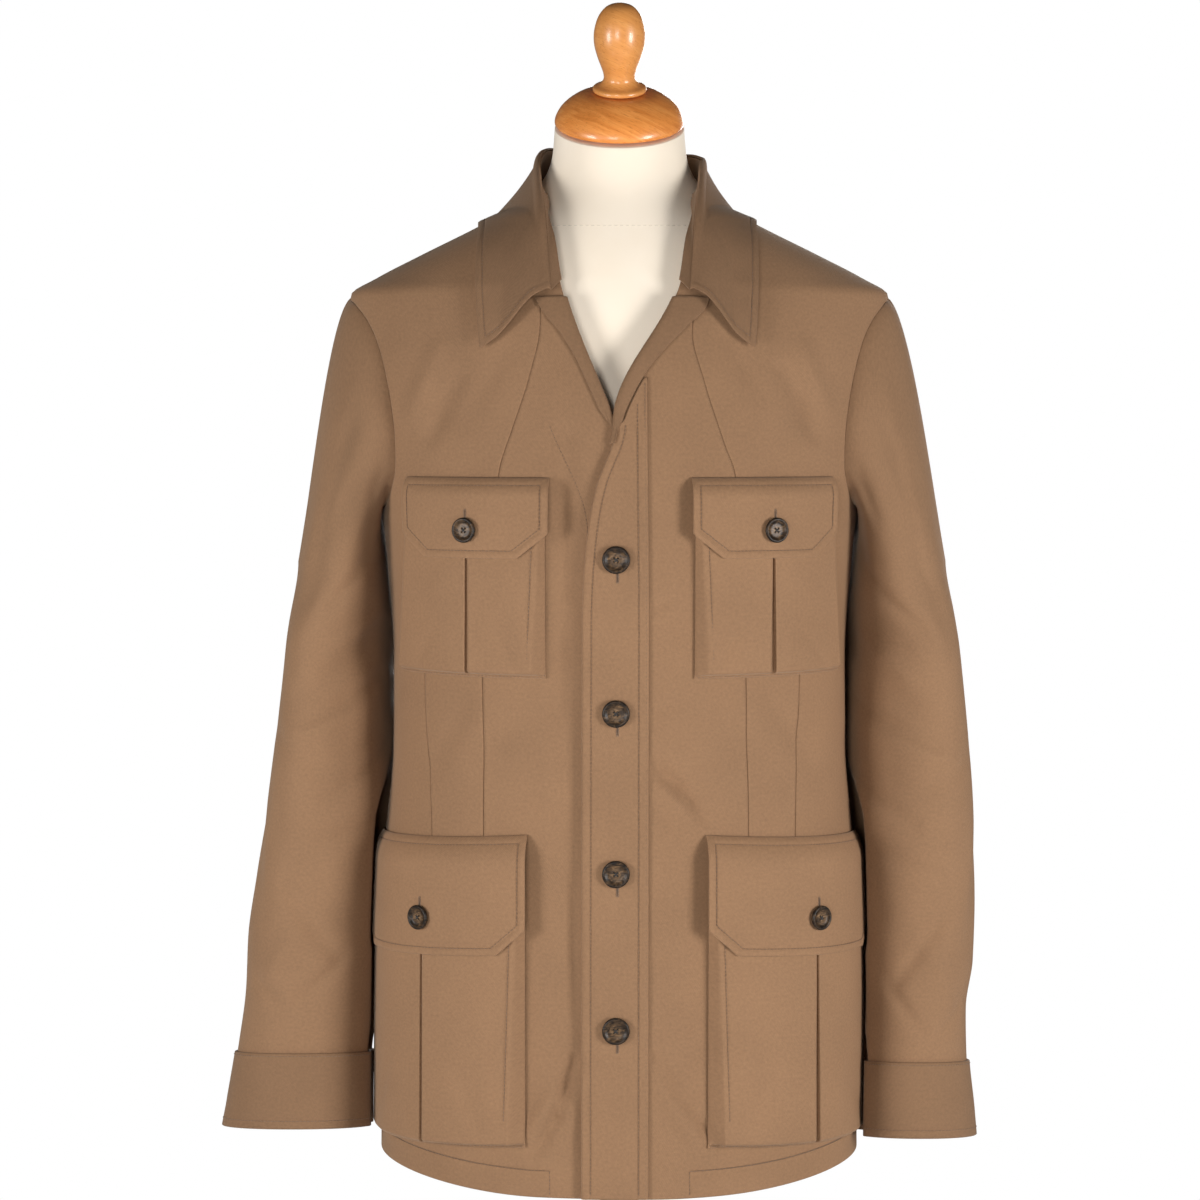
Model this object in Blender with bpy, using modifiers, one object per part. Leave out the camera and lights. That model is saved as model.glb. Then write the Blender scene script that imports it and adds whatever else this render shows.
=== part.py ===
"""A safari jacket worn by a limbless dress form on a round-footed stand.

Metres, +Z up. The origin is on the floor under the middle of the foot. The front faces -Y, so the wearer's
right hand is on the -X side. Every piece of cloth is a thin wall laid on torso(), or on the sleeves.
"""

import math
from bisect import bisect_right
from functools import lru_cache

import bpy
from mathutils import Matrix, Vector

# ---------------------------------------------------------------- driving dimensions
WALL = 0.0015  # thickness of the body cloth
BAND = 0.0012  # thickness of the cloth of bands, flaps and pockets
SEAM = 0.0003  # gap between two pieces that are sewn edge to edge
PLY = 0.0008  # gap between a panel and what is sewn on top of it
LAP_LIFT = 0.0025  # how far the overlapping front stands off the one beneath it

HEM_Z = 0.649  # hem at the centre front
SIDE_HEM_RISE = 0.0095  # how much higher the hem is at the side seam
HEM_FADE_Z = 0.780  # above this height rows of cloth are level
NECK_Z = 1.448  # neckline at the neck point

# Level rings of the jacket's body: half width, depth in front of and behind the middle, and the exponent of
# the superellipse that joins them.
TORSO = (
    # z, half width, front, back, exponent
    (0.600, 0.1995, 0.134, 0.124, 2.30),
    (0.700, 0.1985, 0.133, 0.123, 2.30),
    (0.800, 0.1980, 0.131, 0.120, 2.32),
    (0.910, 0.1945, 0.128, 0.112, 2.34),
    (1.000, 0.1862, 0.126, 0.104, 2.36),
    (1.070, 0.1858, 0.128, 0.109, 2.36),
    (1.150, 0.1908, 0.131, 0.119, 2.36),
    (1.200, 0.1960, 0.130, 0.124, 2.36),
    (1.280, 0.2060, 0.122, 0.126, 2.32),
    (1.340, 0.2155, 0.109, 0.120, 2.25),
    (1.367, 0.2200, 0.100, 0.114, 2.20),
    (1.380, 0.2000, 0.095, 0.110, 2.20),
    (1.399, 0.1630, 0.088, 0.103, 2.20),
    (1.424, 0.1125, 0.077, 0.092, 2.20),
    (1.448, 0.0700, 0.064, 0.071, 2.20),
)

# Front edge of each front, as a distance around the body from the centre line. The wearer's left front laps
# over the right one, whose edge runs on beneath it.
UNDER_EDGE = (
    # z, distance
    (0.600, -0.0240),
    (1.180, -0.0240),
    (1.262, 0.0055),
    (1.375, 0.0480),
    (1.410, 0.0540),
    (1.448, 0.0660),
)
UPPER_EDGE = (
    # z, distance
    (0.600, -0.0304),
    (1.109, -0.0296),
    (1.150, -0.0280),
    (1.191, -0.0235),
    (1.216, -0.0180),
    (1.257, -0.0035),
    (1.273, -0.0023),
    (1.375, 0.0480),
    (1.410, 0.0540),
    (1.448, 0.0660),
)

# Armhole: how far it cuts in from the side line, the same in front and behind.
ARMHOLE = (
    # z, reach
    (1.190, 0.000),
    (1.197, 0.045),
    (1.210, 0.062),
    (1.230, 0.072),
    (1.255, 0.074),
    (1.280, 0.072),
    (1.305, 0.067),
    (1.330, 0.058),
    (1.348, 0.045),
    (1.360, 0.027),
    (1.367, 0.000),
)

# Largest soft folds of the body: a straight run from one end to the other, with its height (a trough is
# negative) and its half width. Fronts measure from the centre front and the back from the centre back; +X is
# positive.
FRONT_FOLDS = (
    # from, z, to, z, height, half width
    (-0.042, 1.080, -0.040, 0.740, -0.0028, 0.013),
    (-0.036, 0.735, -0.070, 0.680, 0.0030, 0.012),
    (0.030, 0.990, 0.060, 0.955, -0.0024, 0.015),
    (0.034, 0.750, 0.068, 0.690, 0.0030, 0.013),
    (-0.066, 1.045, -0.120, 0.985, -0.0022, 0.018),
    (0.064, 1.050, 0.118, 0.985, -0.0022, 0.018),
    (-0.160, 1.300, -0.120, 1.235, -0.0030, 0.016),
    (0.165, 1.295, 0.125, 1.235, -0.0026, 0.016),
    (-0.215, 1.060, -0.220, 0.960, 0.0012, 0.017),
    (0.215, 1.070, 0.222, 0.965, 0.0012, 0.017),
)
BACK_FOLDS = (
    # from, z, to, z, height, half width
    (-0.150, 1.290, -0.110, 1.160, -0.0040, 0.020),
    (0.158, 1.300, 0.112, 1.180, -0.0036, 0.020),
    (-0.060, 0.930, -0.080, 0.700, 0.0040, 0.024),
    (0.052, 0.940, 0.066, 0.690, 0.0036, 0.022),
    (-0.150, 0.920, -0.165, 0.690, 0.0034, 0.024),
    (0.140, 0.930, 0.160, 0.690, 0.0038, 0.024),
    (-0.130, 1.030, -0.030, 1.010, -0.0030, 0.016),
    (0.030, 1.015, 0.140, 1.040, -0.0030, 0.016),
)

# Sleeves, as level sections from the upper arm to the end of the cuff.
SLEEVE_RIGHT_HAND = (
    # z, outer x, inner x, middle y, half depth
    (0.655, 0.3322, 0.2055, -0.018, 0.0500),
    (0.693, 0.3262, 0.2055, -0.018, 0.0500),
    (0.743, 0.3172, 0.2040, -0.017, 0.0510),
    (0.790, 0.3103, 0.1990, -0.015, 0.0545),
    (0.838, 0.3077, 0.1945, -0.013, 0.0580),
    (0.890, 0.3000, 0.1900, -0.011, 0.0610),
    (0.965, 0.2878, 0.1865, -0.009, 0.0655),
    (1.040, 0.2768, 0.1885, -0.007, 0.0695),
    (1.100, 0.2700, 0.1885, -0.005, 0.0720),
    (1.150, 0.2655, 0.1935, -0.002, 0.0740),
)
SLEEVE_LEFT_HAND = (
    # z, outer x, inner x, middle y, half depth
    (0.655, 0.2975, 0.1940, -0.020, 0.0530),
    (0.693, 0.2947, 0.1950, -0.020, 0.0530),
    (0.743, 0.2892, 0.1960, -0.018, 0.0540),
    (0.780, 0.2880, 0.1955, -0.016, 0.0555),
    (0.820, 0.2932, 0.1935, -0.014, 0.0575),
    (0.870, 0.2942, 0.1910, -0.012, 0.0600),
    (0.935, 0.2922, 0.1880, -0.010, 0.0635),
    (1.013, 0.2852, 0.1865, -0.007, 0.0680),
    (1.070, 0.2788, 0.1875, -0.005, 0.0705),
    (1.110, 0.2738, 0.1885, -0.004, 0.0725),
    (1.150, 0.2700, 0.1935, -0.002, 0.0740),
)
SLEEVE_EXPONENT = 2.15
SLEEVE_CLEAR = 0.0032  # least gap between a sleeve and the body below the armhole
HIP_CLEAR = (
    # z, least gap in front, where a sleeve passes the hip pockets
    (0.825, 0.0112),
    (0.845, 0.0135),
    (0.935, 0.0135),
    (0.990, SLEEVE_CLEAR),
)
# The sleeves turn their inner backs to the body, and their ends are cut across the forward-hanging arm.
SLEEVE_TURN = (
    # z, sideways shift for each metre toward the back
    (0.700, 0.04),
    (0.800, 0.14),
    (0.930, 0.20),
    (1.000, 0.26),
    (1.080, 0.26),
    (1.150, 0.00),
)
END_RISE = 0.20  # how much higher the ends are for each metre toward the front
END_FADE = (0.742, 0.900)  # above these heights the sections are level
END_DROP = 0.0035  # how much lower the wearer's left cuff hangs, and how much higher the right one
CUFF_TOP_Z = 0.735
CUFF_END_Z = 0.673
SLEEVE_END_Z = 0.725  # the sleeve's end is tucked this far into its cuff

# Folds of the sleeves, on the angle around the arm: 0 outside, 90 front, 180 inside, 270 behind.
SLEEVE_FOLDS = (
    # angle, z, angle, z, height, half width
    (95.0, 1.290, 30.0, 1.180, -0.0040, 0.018),
    (120.0, 1.230, 60.0, 1.110, -0.0036, 0.017),
    (150.0, 1.060, 80.0, 1.030, -0.0034, 0.014),
    (165.0, 0.995, 100.0, 0.975, -0.0034, 0.014),
    (260.0, 1.240, 330.0, 1.120, -0.0040, 0.020),
    (200.0, 1.020, 270.0, 1.000, -0.0032, 0.015),
    (60.0, 0.920, 110.0, 0.850, -0.0024, 0.016),
    (300.0, 0.900, 240.0, 0.830, -0.0026, 0.018),
)

# Collar on the +X half: its fold line and its outer edge, from the centre back round to the front end.
COLLAR = (
    # fold x, y, z, outer x, y, z
    (0.0000, 0.0740, 1.490, 0.0000, 0.1060, 1.424),
    (0.0360, 0.0670, 1.489, 0.0550, 0.1000, 1.424),
    (0.0585, 0.0410, 1.487, 0.0950, 0.0720, 1.424),
    (0.0665, 0.0040, 1.479, 0.1095, 0.0150, 1.423),
    (0.0645, -0.0360, 1.458, 0.1085, -0.0400, 1.415),
    (0.0600, -0.0755, 1.425, 0.1105, -0.0800, 1.388),
    (0.0572, -0.0935, 1.392, 0.1095, -0.0960, 1.355),
    (0.0550, -0.1050, 1.368, 0.1070, -0.1060, 1.323),
)
LEAF_CLEAR = (
    # steps round from the centre back, underside of the leaf off the body
    (0, 0.0040),
    (3, 0.0028),
    (4, 0.0034),
    (5, 0.0056),
    (6, 0.0062),
    (7, 0.0062),
)

# Pockets on one front: distances around the body from the centre, and heights. "foot" is the stitched outline
# on the front and "face" the raised face's edge, each at the flap and at the bottom. The cloth stands off the
# front by "deep", and at the outer side by only outer_share of that. Level lines fall toward the side by
# "slope", and the pockets of the wearer's left front sit nearer the centre by "nudge".
CHEST = dict(
    flap_in=0.0560, flap_out=0.1795, flap_top=1.2205, flap_bottom=1.1590, chamfer_w=0.023, chamfer_h=0.0185,
    foot_in=0.0585, foot_out=(0.1805, 0.1990), mouth=1.2010, bottom=1.0640, face_in=(0.0615, 0.0670),
    face_out=(0.1775, 0.1950), deep=0.0085, outer_share=0.60, pleat=0.1195, button_z=1.1805, slope=0.0,
    nudge=0.0005, flap_columns=9,
)
HIP = dict(
    flap_in=0.0735, flap_out=0.2500, flap_top=0.9385, flap_bottom=0.8460, chamfer_w=0.022, chamfer_h=0.019,
    foot_in=0.0750, foot_out=(0.2510, 0.2530), mouth=0.9150, bottom=0.6895, face_in=(0.0790, 0.0850),
    face_out=(0.2480, 0.2495), deep=0.0115, outer_share=0.42, pleat=0.1590, button_z=0.8755, slope=0.075,
    nudge=0.0055, flap_columns=13,
)

HIP_LEFT = dict(HIP, pleat=0.1635)

BUTTON_Z = (1.1578, 1.0371, 0.9097, 0.7851)  # front buttons, top to bottom
BUTTON_S = -0.0035  # their distance from the centre line
FRONT_BUTTON_R = 0.0110
POCKET_BUTTON_R = 0.0100

# Dress form: its body lies inside the jacket's by this much, and carries it along the shoulders.
FORM_INSET = (
    # z, at the sides, in front, behind
    (0.730, 0.0160, 0.0160, 0.0160),
    (1.280, 0.0140, 0.0120, 0.0120),
    (1.340, 0.0080, 0.0100, 0.0080),
    (1.367, 0.0030, 0.0090, 0.0060),
    (1.380, 0.0013, 0.0085, 0.0050),
    (1.430, 0.0013, 0.0080, 0.0050),
)
FORM_NECK = (
    # z, half width, front, back
    (1.4340, 0.0900, 0.0635, 0.0745),
    (1.4405, 0.0745, 0.0605, 0.0680),
    (1.4500, 0.0630, 0.0575, 0.0625),
    (1.4640, 0.0575, 0.0545, 0.0595),
    (1.4820, 0.0548, 0.0520, 0.0570),
    (1.5045, 0.0532, 0.0500, 0.0550),
)
NECK_TILT = math.radians(23.0)  # the cap leans forward on the neck
CAP_SEAT = (0.0, 0.003, 1.5035)  # middle of the cap's rim
POLE_R = 0.016
BASE_R = 0.200


# ---------------------------------------------------------------- the body's shape
def eased(rows, x):
    """The columns of a table at x in its first column, by a cubic that never overshoots the rows."""
    if x <= rows[0][0]:
        return rows[0][1:]
    if x >= rows[-1][0]:
        return rows[-1][1:]
    low = max(i for i in range(len(rows) - 1) if rows[i][0] <= x)

    def slope(i, c):
        if i in (0, len(rows) - 1):
            return 0.0
        before = (rows[i][c] - rows[i - 1][c]) / (rows[i][0] - rows[i - 1][0])
        after = (rows[i + 1][c] - rows[i][c]) / (rows[i + 1][0] - rows[i][0])
        if before * after <= 0.0:
            return 0.0
        return 2.0 * before * after / (before + after)

    width = rows[low + 1][0] - rows[low][0]
    t = (x - rows[low][0]) / width
    values = []
    for c in range(1, len(rows[0])):
        start, end = rows[low][c], rows[low + 1][c]
        values.append(
            start * (1 + 2 * t) * (1 - t) ** 2
            + end * t * t * (3 - 2 * t)
            + slope(low, c) * width * t * (1 - t) ** 2
            - slope(low + 1, c) * width * t * t * (1 - t)
        )
    return tuple(values)


def smooth(low, high, x):
    """0 below low, 1 above high, and an even S between them."""
    t = min(1.0, max(0.0, (x - low) / (high - low)))
    return t * t * (3.0 - 2.0 * t)


@lru_cache(maxsize=None)
def ring(z):
    """Half of the body's ring at z, centre front to centre back: distances, points, the side's distance."""
    half, front, back, power = eased(TORSO, z)
    steps = 240
    distances = [0.0]
    points = []
    for i in range(steps + 1):
        angle = math.pi * i / steps
        across = half * abs(math.sin(angle)) ** (2.0 / power)
        depth = front if i <= steps // 2 else back
        along = -math.copysign(depth * abs(math.cos(angle)) ** (2.0 / power), math.cos(angle))
        points.append((across, along))
        if i:
            distances.append(distances[-1] + math.dist(points[-1], points[-2]))
    return distances, points, distances[steps // 2]


def side(z):
    """Distance around the body from the centre front to the side line."""
    return ring(round(z, 5))[2]


def half_round(z):
    """Distance around the body from the centre front to the centre back."""
    return ring(round(z, 5))[0][-1]


def bare(s, z):
    """Point of the unfolded body at distance s from the centre front (+X positive) and height z."""
    distances, points, _ = ring(round(z, 5))
    reach = min(abs(s), distances[-1])
    i = min(bisect_right(distances, reach), len(distances) - 1) - 1
    t = (reach - distances[i]) / (distances[i + 1] - distances[i])
    x = points[i][0] + (points[i + 1][0] - points[i][0]) * t
    y = points[i][1] + (points[i + 1][1] - points[i][1]) * t
    return Vector((math.copysign(x, s), y, z))


def bare_normal(s, z):
    """Outward direction of the unfolded body."""
    step = 0.006
    if abs(s) > half_round(z) - step:
        return Vector((0.0, 1.0, 0.0))
    across = bare(s + step, z) - bare(s - step, z)
    up = bare(s, z + step) - bare(s, z - step)
    return across.cross(up).normalized()


def run_height(folds, across, z, scale=1.0):
    """Sum of the soft runs of a fold table at one place; scale turns the first column into metres."""
    total = 0.0
    for a0, z0, a1, z1, height, width in folds:
        run = Vector(((a1 - a0) * scale, z1 - z0))
        spot = Vector(((across - a0) * scale, z - z0))
        t = spot.dot(run) / run.length_squared
        miss = (spot - run * min(1.0, max(0.0, t))).length
        fade = 1.0 - 0.45 * abs(2.0 * min(1.0, max(0.0, t)) - 1.0)
        total += height * fade * math.exp(-((miss / width) ** 2))
    return total


def torso(s, z, out=0.0):
    """Point of the jacket's inner face at distance s from the centre front, moved out of the body by out."""
    behind = math.copysign(half_round(z) - abs(s), s)
    fold = run_height(FRONT_FOLDS, s, z) + run_height(BACK_FOLDS, behind, z)
    return bare(s, z) + bare_normal(s, z) * (fold + out)


def lap(s, z):
    """How far the overlapping front stands off the body at distance s."""
    return LAP_LIFT * (1.0 - smooth(0.030, 0.085, s)) * (1.0 - smooth(1.300, 1.370, z))


def front(hand, s, z, out=0.0):
    """Point on a front: hand is 1 for the +X one, which laps over, and s grows away from the centre."""
    return torso(hand * s, z, out + (lap(s, z) if hand > 0 else 0.0))


STEP = 0.002
STEPS = (Vector((STEP, 0, 0)), Vector((0, STEP, 0)), Vector((0, 0, STEP)))


def closeness(point):
    """Grows away from the body: 0 on it, in no particular unit."""
    half, ahead, back, power = eased(TORSO, point.z)
    depth = ahead if point.y < 0.0 else back
    return (abs(point.x / half) ** power + abs(point.y / depth) ** power) ** (1.0 / power) - 1.0


def clear_of_body(point, gap):
    """The point, moved straight out until it is at least gap off the body."""
    moved = Vector(point)
    for _ in range(4):
        slope = Vector([closeness(moved + d) - closeness(moved - d) for d in STEPS]) / (2.0 * STEP)
        short = gap - closeness(moved) / slope.length
        if short <= 0.0:
            break
        moved += slope.normalized() * short
    return moved


# ---------------------------------------------------------------- makers
def clear_scene():
    for old in list(bpy.data.objects):
        bpy.data.objects.remove(old, do_unlink=True)


def material(name, colour, roughness, metallic=0.0):
    made = bpy.data.materials.new(name)
    made.use_nodes = True
    shader = made.node_tree.nodes["Principled BSDF"]
    shader.inputs["Base Color"].default_value = (*colour, 1.0)
    shader.inputs["Roughness"].default_value = roughness
    shader.inputs["Metallic"].default_value = metallic
    made.diffuse_color = (*colour, 1.0)
    return made


def cloth_material(name, shade=1.0):
    return material(name, tuple(c * shade for c in (0.270, 0.168, 0.088)), 0.85)


def add(name, mesh, look):
    mesh.materials.append(look)
    mesh.shade_smooth()
    made = bpy.data.objects.new(name, mesh)
    PART.objects.link(made)
    return made


def loft(name, rows, look, wrap=False, flip=False, caps=False):
    """Mesh through rows of points that all have one length; wrap closes each row into a loop."""
    count = len(rows[0])
    verts = [point for row in rows for point in row]
    faces = []
    for r in range(len(rows) - 1):
        for c in range(count if wrap else count - 1):
            d = (c + 1) % count
            face = (r * count + c, r * count + d, (r + 1) * count + d, (r + 1) * count + c)
            faces.append(face[::-1] if flip else face)
    if caps:
        last = (len(rows) - 1) * count
        bottom = tuple(range(count))[::-1]
        top = tuple(range(last, last + count))
        faces += [bottom[::-1], top[::-1]] if flip else [bottom, top]
    mesh = bpy.data.meshes.new(name)
    mesh.from_pydata(verts, [], faces)
    mesh.update()
    return add(name, mesh, look)


def thicken(made, wall, outward=True, even=False):
    """Give a sheet its wall, outward from it or inward."""
    shell = made.modifiers.new("wall", "SOLIDIFY")
    shell.thickness = wall
    shell.offset = 1.0 if outward else -1.0
    shell.use_even_offset = even
    return made


def turned(name, profile, steps, look, matrix):
    """Solid of a profile of (radius, height) from the top of the axis round to its bottom."""
    mesh = bpy.data.meshes.new(name)
    mesh.from_pydata([(r, 0.0, z) for r, z in profile], [(i, i + 1) for i in range(len(profile) - 1)], [])
    made = add(name, mesh, look)
    made.matrix_world = matrix
    lathe = made.modifiers.new("turned", "SCREW")
    lathe.steps = steps
    lathe.render_steps = steps
    lathe.merge_threshold = 0.00001
    lathe.use_merge_vertices = True
    lathe.use_smooth_shade = True
    return made


def spread(first, last, count):
    return [first + (last - first) * i / count for i in range(count + 1)]


# ---------------------------------------------------------------- body panels
LOWER_Z = (HEM_Z, 0.685, 0.722, 0.760, 0.800, 0.840, 0.880, 0.920, 0.960, 1.000, 1.040, 1.080, 1.115, 1.150)
SHOULDER_Z = (1.380, 1.395, 1.411, 1.428)
BODY_Z = LOWER_Z + (1.173,) + tuple(row[0] for row in ARMHOLE) + SHOULDER_Z + (1.440, NECK_Z)
FRONT_COLUMNS = 12
BACK_COLUMNS = 18


def hem(s, level):
    """Height of a row of cloth: level above the hips, and bending with the hem at the bottom."""
    rise = SIDE_HEM_RISE * smooth(0.065, 0.235, abs(s))
    return level + rise * (1.0 - smooth(HEM_Z, HEM_FADE_Z, level))


def armhole(level):
    return eased(ARMHOLE, level)[0] if ARMHOLE[0][0] < level < ARMHOLE[-1][0] else 0.0


def front_panel(name, hand, edge, look):
    rows = []
    for level in BODY_Z:
        row = []
        for k in range(FRONT_COLUMNS + 1):
            share = (k / FRONT_COLUMNS) ** 1.15  # columns are closer together near the centre
            z = hem(share * side(level), level)
            start = eased(edge, level)[0]
            end = side(z) - armhole(level) - SEAM / 2
            row.append(front(hand, start + (end - start) * share, z))
        rows.append(row)
    return thicken(loft(name, rows, look, flip=hand < 0), WALL)


def back_panel(name, look):
    rows = []
    for level in BODY_Z:
        row = []
        for k in range(BACK_COLUMNS + 1):
            share = 2.0 * k / BACK_COLUMNS - 1.0
            z = hem(side(level), level)
            reach = half_round(z) - side(z) - armhole(level) - SEAM / 2
            row.append(torso(math.copysign(half_round(z) - reach * abs(share), share), z))
        rows.append(row)
    return thicken(loft(name, rows, look, flip=True), WALL)


# ---------------------------------------------------------------- sleeves
AROUND = 2 * (len(ARMHOLE) - 1)
CAP_STEPS = (0.0, 0.06, 0.15, 0.27, 0.41, 0.56, 0.71, 0.86)
UPPER_ARM_Z = (1.150, 1.115, 1.080, 1.045, 1.010, 0.975)
FOREARM_Z = (0.940, 0.905, 0.870, 0.835, 0.800, 0.763, SLEEVE_END_Z)
SLEEVE_Z = UPPER_ARM_Z + FOREARM_Z
CUFF_Z = (CUFF_TOP_Z, 0.715, 0.694, CUFF_END_Z)
METRES_PER_DEGREE = 0.00105


def arm_loop(hand):
    """Points just inside the armhole's edge: the shoulder tip, the front, the underarm and up the back."""
    middle = WALL / 2
    ahead = [torso(hand * (side(z) - reach), z, middle) for z, reach in reversed(ARMHOLE)]
    behind = [torso(hand * (side(z) + reach), z, middle) for z, reach in ARMHOLE[1:-1]]
    loop = ahead + behind
    centre = sum(loop, Vector()) / len(loop)
    return [point + (centre - point).normalized() * 2 * SEAM for point in loop]


def sleeve_point(hand, turn, z, out=0.0):
    """Point of a sleeve's outer face; turn is 0 outside, 90 in front, 180 at the body and 270 behind."""
    table = SLEEVE_LEFT_HAND if hand > 0 else SLEEVE_RIGHT_HAND
    outer, inner, middle, depth = eased(table, z)
    half = (outer - inner) / 2
    across = math.cos(math.radians(turn))
    ahead = math.sin(math.radians(turn))
    slant = eased(SLEEVE_TURN, z)[0]
    narrow = math.sqrt(half**2 - (slant * depth) ** 2)  # keeps the width that the table states
    y = middle - depth * math.copysign(abs(ahead) ** (2 / SLEEVE_EXPONENT), ahead)
    x = (outer + inner) / 2 + narrow * math.copysign(abs(across) ** (2 / SLEEVE_EXPONENT), across)
    x -= slant * (y - middle)
    away = Vector((across / half, -ahead / depth)).normalized()
    shift = out + run_height(SLEEVE_FOLDS, turn, z + 0.012 * hand, METRES_PER_DEGREE)
    y += away.y * shift
    level = z + (END_RISE * (middle - y) - END_DROP * hand) * (1.0 - smooth(*END_FADE, z))
    return Vector((hand * (x + away.x * shift), y, level))


def beside_body(point, cover):
    """The point, kept off the body and the hip pockets, with room for cover outside it."""
    pockets = (eased(HIP_CLEAR, point.z)[0] - SLEEVE_CLEAR) * (1.0 - smooth(-0.004, 0.022, point.y))
    return clear_of_body(point, SLEEVE_CLEAR + pockets + cover)


def sleeve_head(hand, turn, start, t):
    """Point of the sleeve between the armhole at t = 0 and the upper arm at t = 1."""
    end = sleeve_point(hand, turn, SLEEVE_Z[0])
    length = (end - start).length
    outside = smooth(-0.3, 0.7, math.cos(math.radians(turn)))  # the head is flatter there
    leave = Vector((hand, -0.30 * math.sin(math.radians(turn)), -0.15 - 0.25 * outside)).normalized()
    leave *= length * (0.50 - 0.23 * outside)
    arrive = Vector((hand * (0.12 + 0.06 * outside), 0.0, -1.0)) * length * (0.55 + 0.50 * outside)
    point = (
        start * (2 * t**3 - 3 * t**2 + 1)
        + leave * (t**3 - 2 * t**2 + t)
        + end * (3 * t**2 - 2 * t**3)
        + arrive * (t**3 - t**2)
    )
    fold = run_height(SLEEVE_FOLDS, turn, point.z + 0.012 * hand, METRES_PER_DEGREE) * smooth(0.1, 0.6, t)
    point.x += hand * math.cos(math.radians(turn)) * fold * (1.0 - t)
    point.y -= math.sin(math.radians(turn)) * fold * (1.0 - t)
    return clear_of_body(point, SLEEVE_CLEAR) if t > 0.1 else point


TURNS = tuple(360.0 * i / AROUND for i in range(AROUND))


def sleeve(name, hand, look):
    starts = arm_loop(hand)
    rows = [[sleeve_head(hand, turn, start, t) for turn, start in zip(TURNS, starts)] for t in CAP_STEPS]
    for z in SLEEVE_Z:
        cover = (1.7 * PLY + WALL) * (1.0 - smooth(CUFF_TOP_Z, CUFF_TOP_Z + 0.03, z))
        rows.append([beside_body(sleeve_point(hand, turn, z), cover) for turn in TURNS])
    return thicken(loft(name, rows, look, wrap=True, flip=hand < 0), WALL, outward=False)


def cuff(name, hand, look):
    rows = []
    for z in CUFF_Z:
        rows.append([beside_body(sleeve_point(hand, turn, z, PLY), WALL) for turn in TURNS])
    return thicken(loft(name, rows, look, wrap=True, flip=hand < 0), WALL)


# ---------------------------------------------------------------- collar
COLLAR_LAST = len(COLLAR) - 1
COLLAR_MIRRORED = [(-i, -r[0], r[1], r[2], -r[3], r[4], r[5]) for i, r in enumerate(COLLAR)]
COLLAR_ROUND = COLLAR_MIRRORED[:0:-1] + [(i, *r) for i, r in enumerate(COLLAR)]
STATIONS = [i / 2 for i in range(-2 * COLLAR_LAST, 2 * COLLAR_LAST + 1)]
STAND_NECK = 4.4  # the stand follows the neckline this far round, and then the front edges
STAND_END_Z = 1.376
STAND_INSET = 0.0009
STAND_RAISE = 0.0035  # it clears the neckline's outer edge
# Where the stand starts from a front's edge, from the neckline down: along the cloth and out of it.
STAND_FOOT = (
    # share of the way, along, out
    (0.00, -0.0040, 0.0000),
    (0.20, -0.0032, 0.0010),
    (0.45, -0.0018, 0.0018),
    (1.00, -0.0016, 0.0018),
)
LEAF_ACROSS = (0.10, 0.30, 0.52, 0.76, 1.0)
LEAF_BOW = 0.0040  # the leaf's front ends are cut in a slack S this high
COLLAR_SHIFT = 0.0025  # how far it is pulled aside
LEAF_CROWN = (
    # steps round from the centre back, height
    (0, 0.0030),
    (1, 0.0010),
    (2, -0.0025),
    (4, -0.0035),
    (5, 0.0010),
    (6, 0.0050),
    (7, 0.0060),
)


def collar_lines(t):
    """Fold and outer edge at a station; the collar isn't worn quite evenly."""
    values = eased(COLLAR_ROUND, t)
    beside = COLLAR_SHIFT * smooth(1.0, 3.0, abs(t))
    on_neck = 1.0 - smooth(2.4, 3.6, abs(t))
    fold = Vector(values[:3]) + Vector((beside * on_neck, 0.0, -0.045 * on_neck * values[0]))
    return fold, Vector(values[3:]) - Vector((beside, 0.0, 0.0))


def stand_foot(t):
    hand = math.copysign(1.0, t)
    if abs(t) <= STAND_NECK:
        first, last = half_round(NECK_Z), eased(UPPER_EDGE, NECK_Z)[0]
        s = hand * (first + (last - first) * abs(t) / STAND_NECK)
        point = bare(s, NECK_Z)
        inward = bare_normal(s, NECK_Z)
        inward.z = 0.0
        return point - inward.normalized() * STAND_INSET + Vector((0.0, 0.0, STAND_RAISE))
    share = (abs(t) - STAND_NECK) / (COLLAR_LAST - STAND_NECK)
    start_z = NECK_Z + STAND_RAISE
    z = start_z + (STAND_END_Z - start_z) * share
    edge = UPPER_EDGE if hand > 0 else UNDER_EDGE
    along, out = eased(STAND_FOOT, share)
    return front(hand, eased(edge, z)[0] + along, z, out)


def collar_stand(name, look):
    rows = []
    for t in STATIONS:
        fold, _ = collar_lines(t)
        foot = stand_foot(t)
        rows.append([fold, foot.lerp(fold, 0.55), foot])
    return thicken(loft(name, rows, look, flip=True), WALL, outward=False)


def collar_leaf(name, look):
    rows = []
    for t in STATIONS:
        fold, outer = collar_lines(t)
        span = outer - fold
        away = Vector((span.x, span.y, 0.0)).normalized()
        ahead = collar_lines(min(t + 0.2, COLLAR_LAST))[0] - collar_lines(max(t - 0.2, -COLLAR_LAST))[0]
        proud = span.cross(ahead).normalized() * -1.0
        row = [fold + Vector((0, 0, PLY)), fold + away * 0.0026 + Vector((0, 0, 0.0022))]
        for share in LEAF_ACROSS:
            crown = eased(LEAF_CROWN, abs(t))[0] * math.sin(math.pi * share**0.8)
            bow = LEAF_BOW * math.sin(2.0 * math.pi * share**0.85) * smooth(5.2, 7.0, abs(t))
            point = fold + span * share + proud * crown + Vector((0.0, 0.0, bow))
            row.append(clear_of_body(point, eased(LEAF_CLEAR, abs(t))[0]) if share > 0.2 else point)
        rows.append(row)
    return thicken(loft(name, rows, look, flip=True), WALL)


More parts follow.
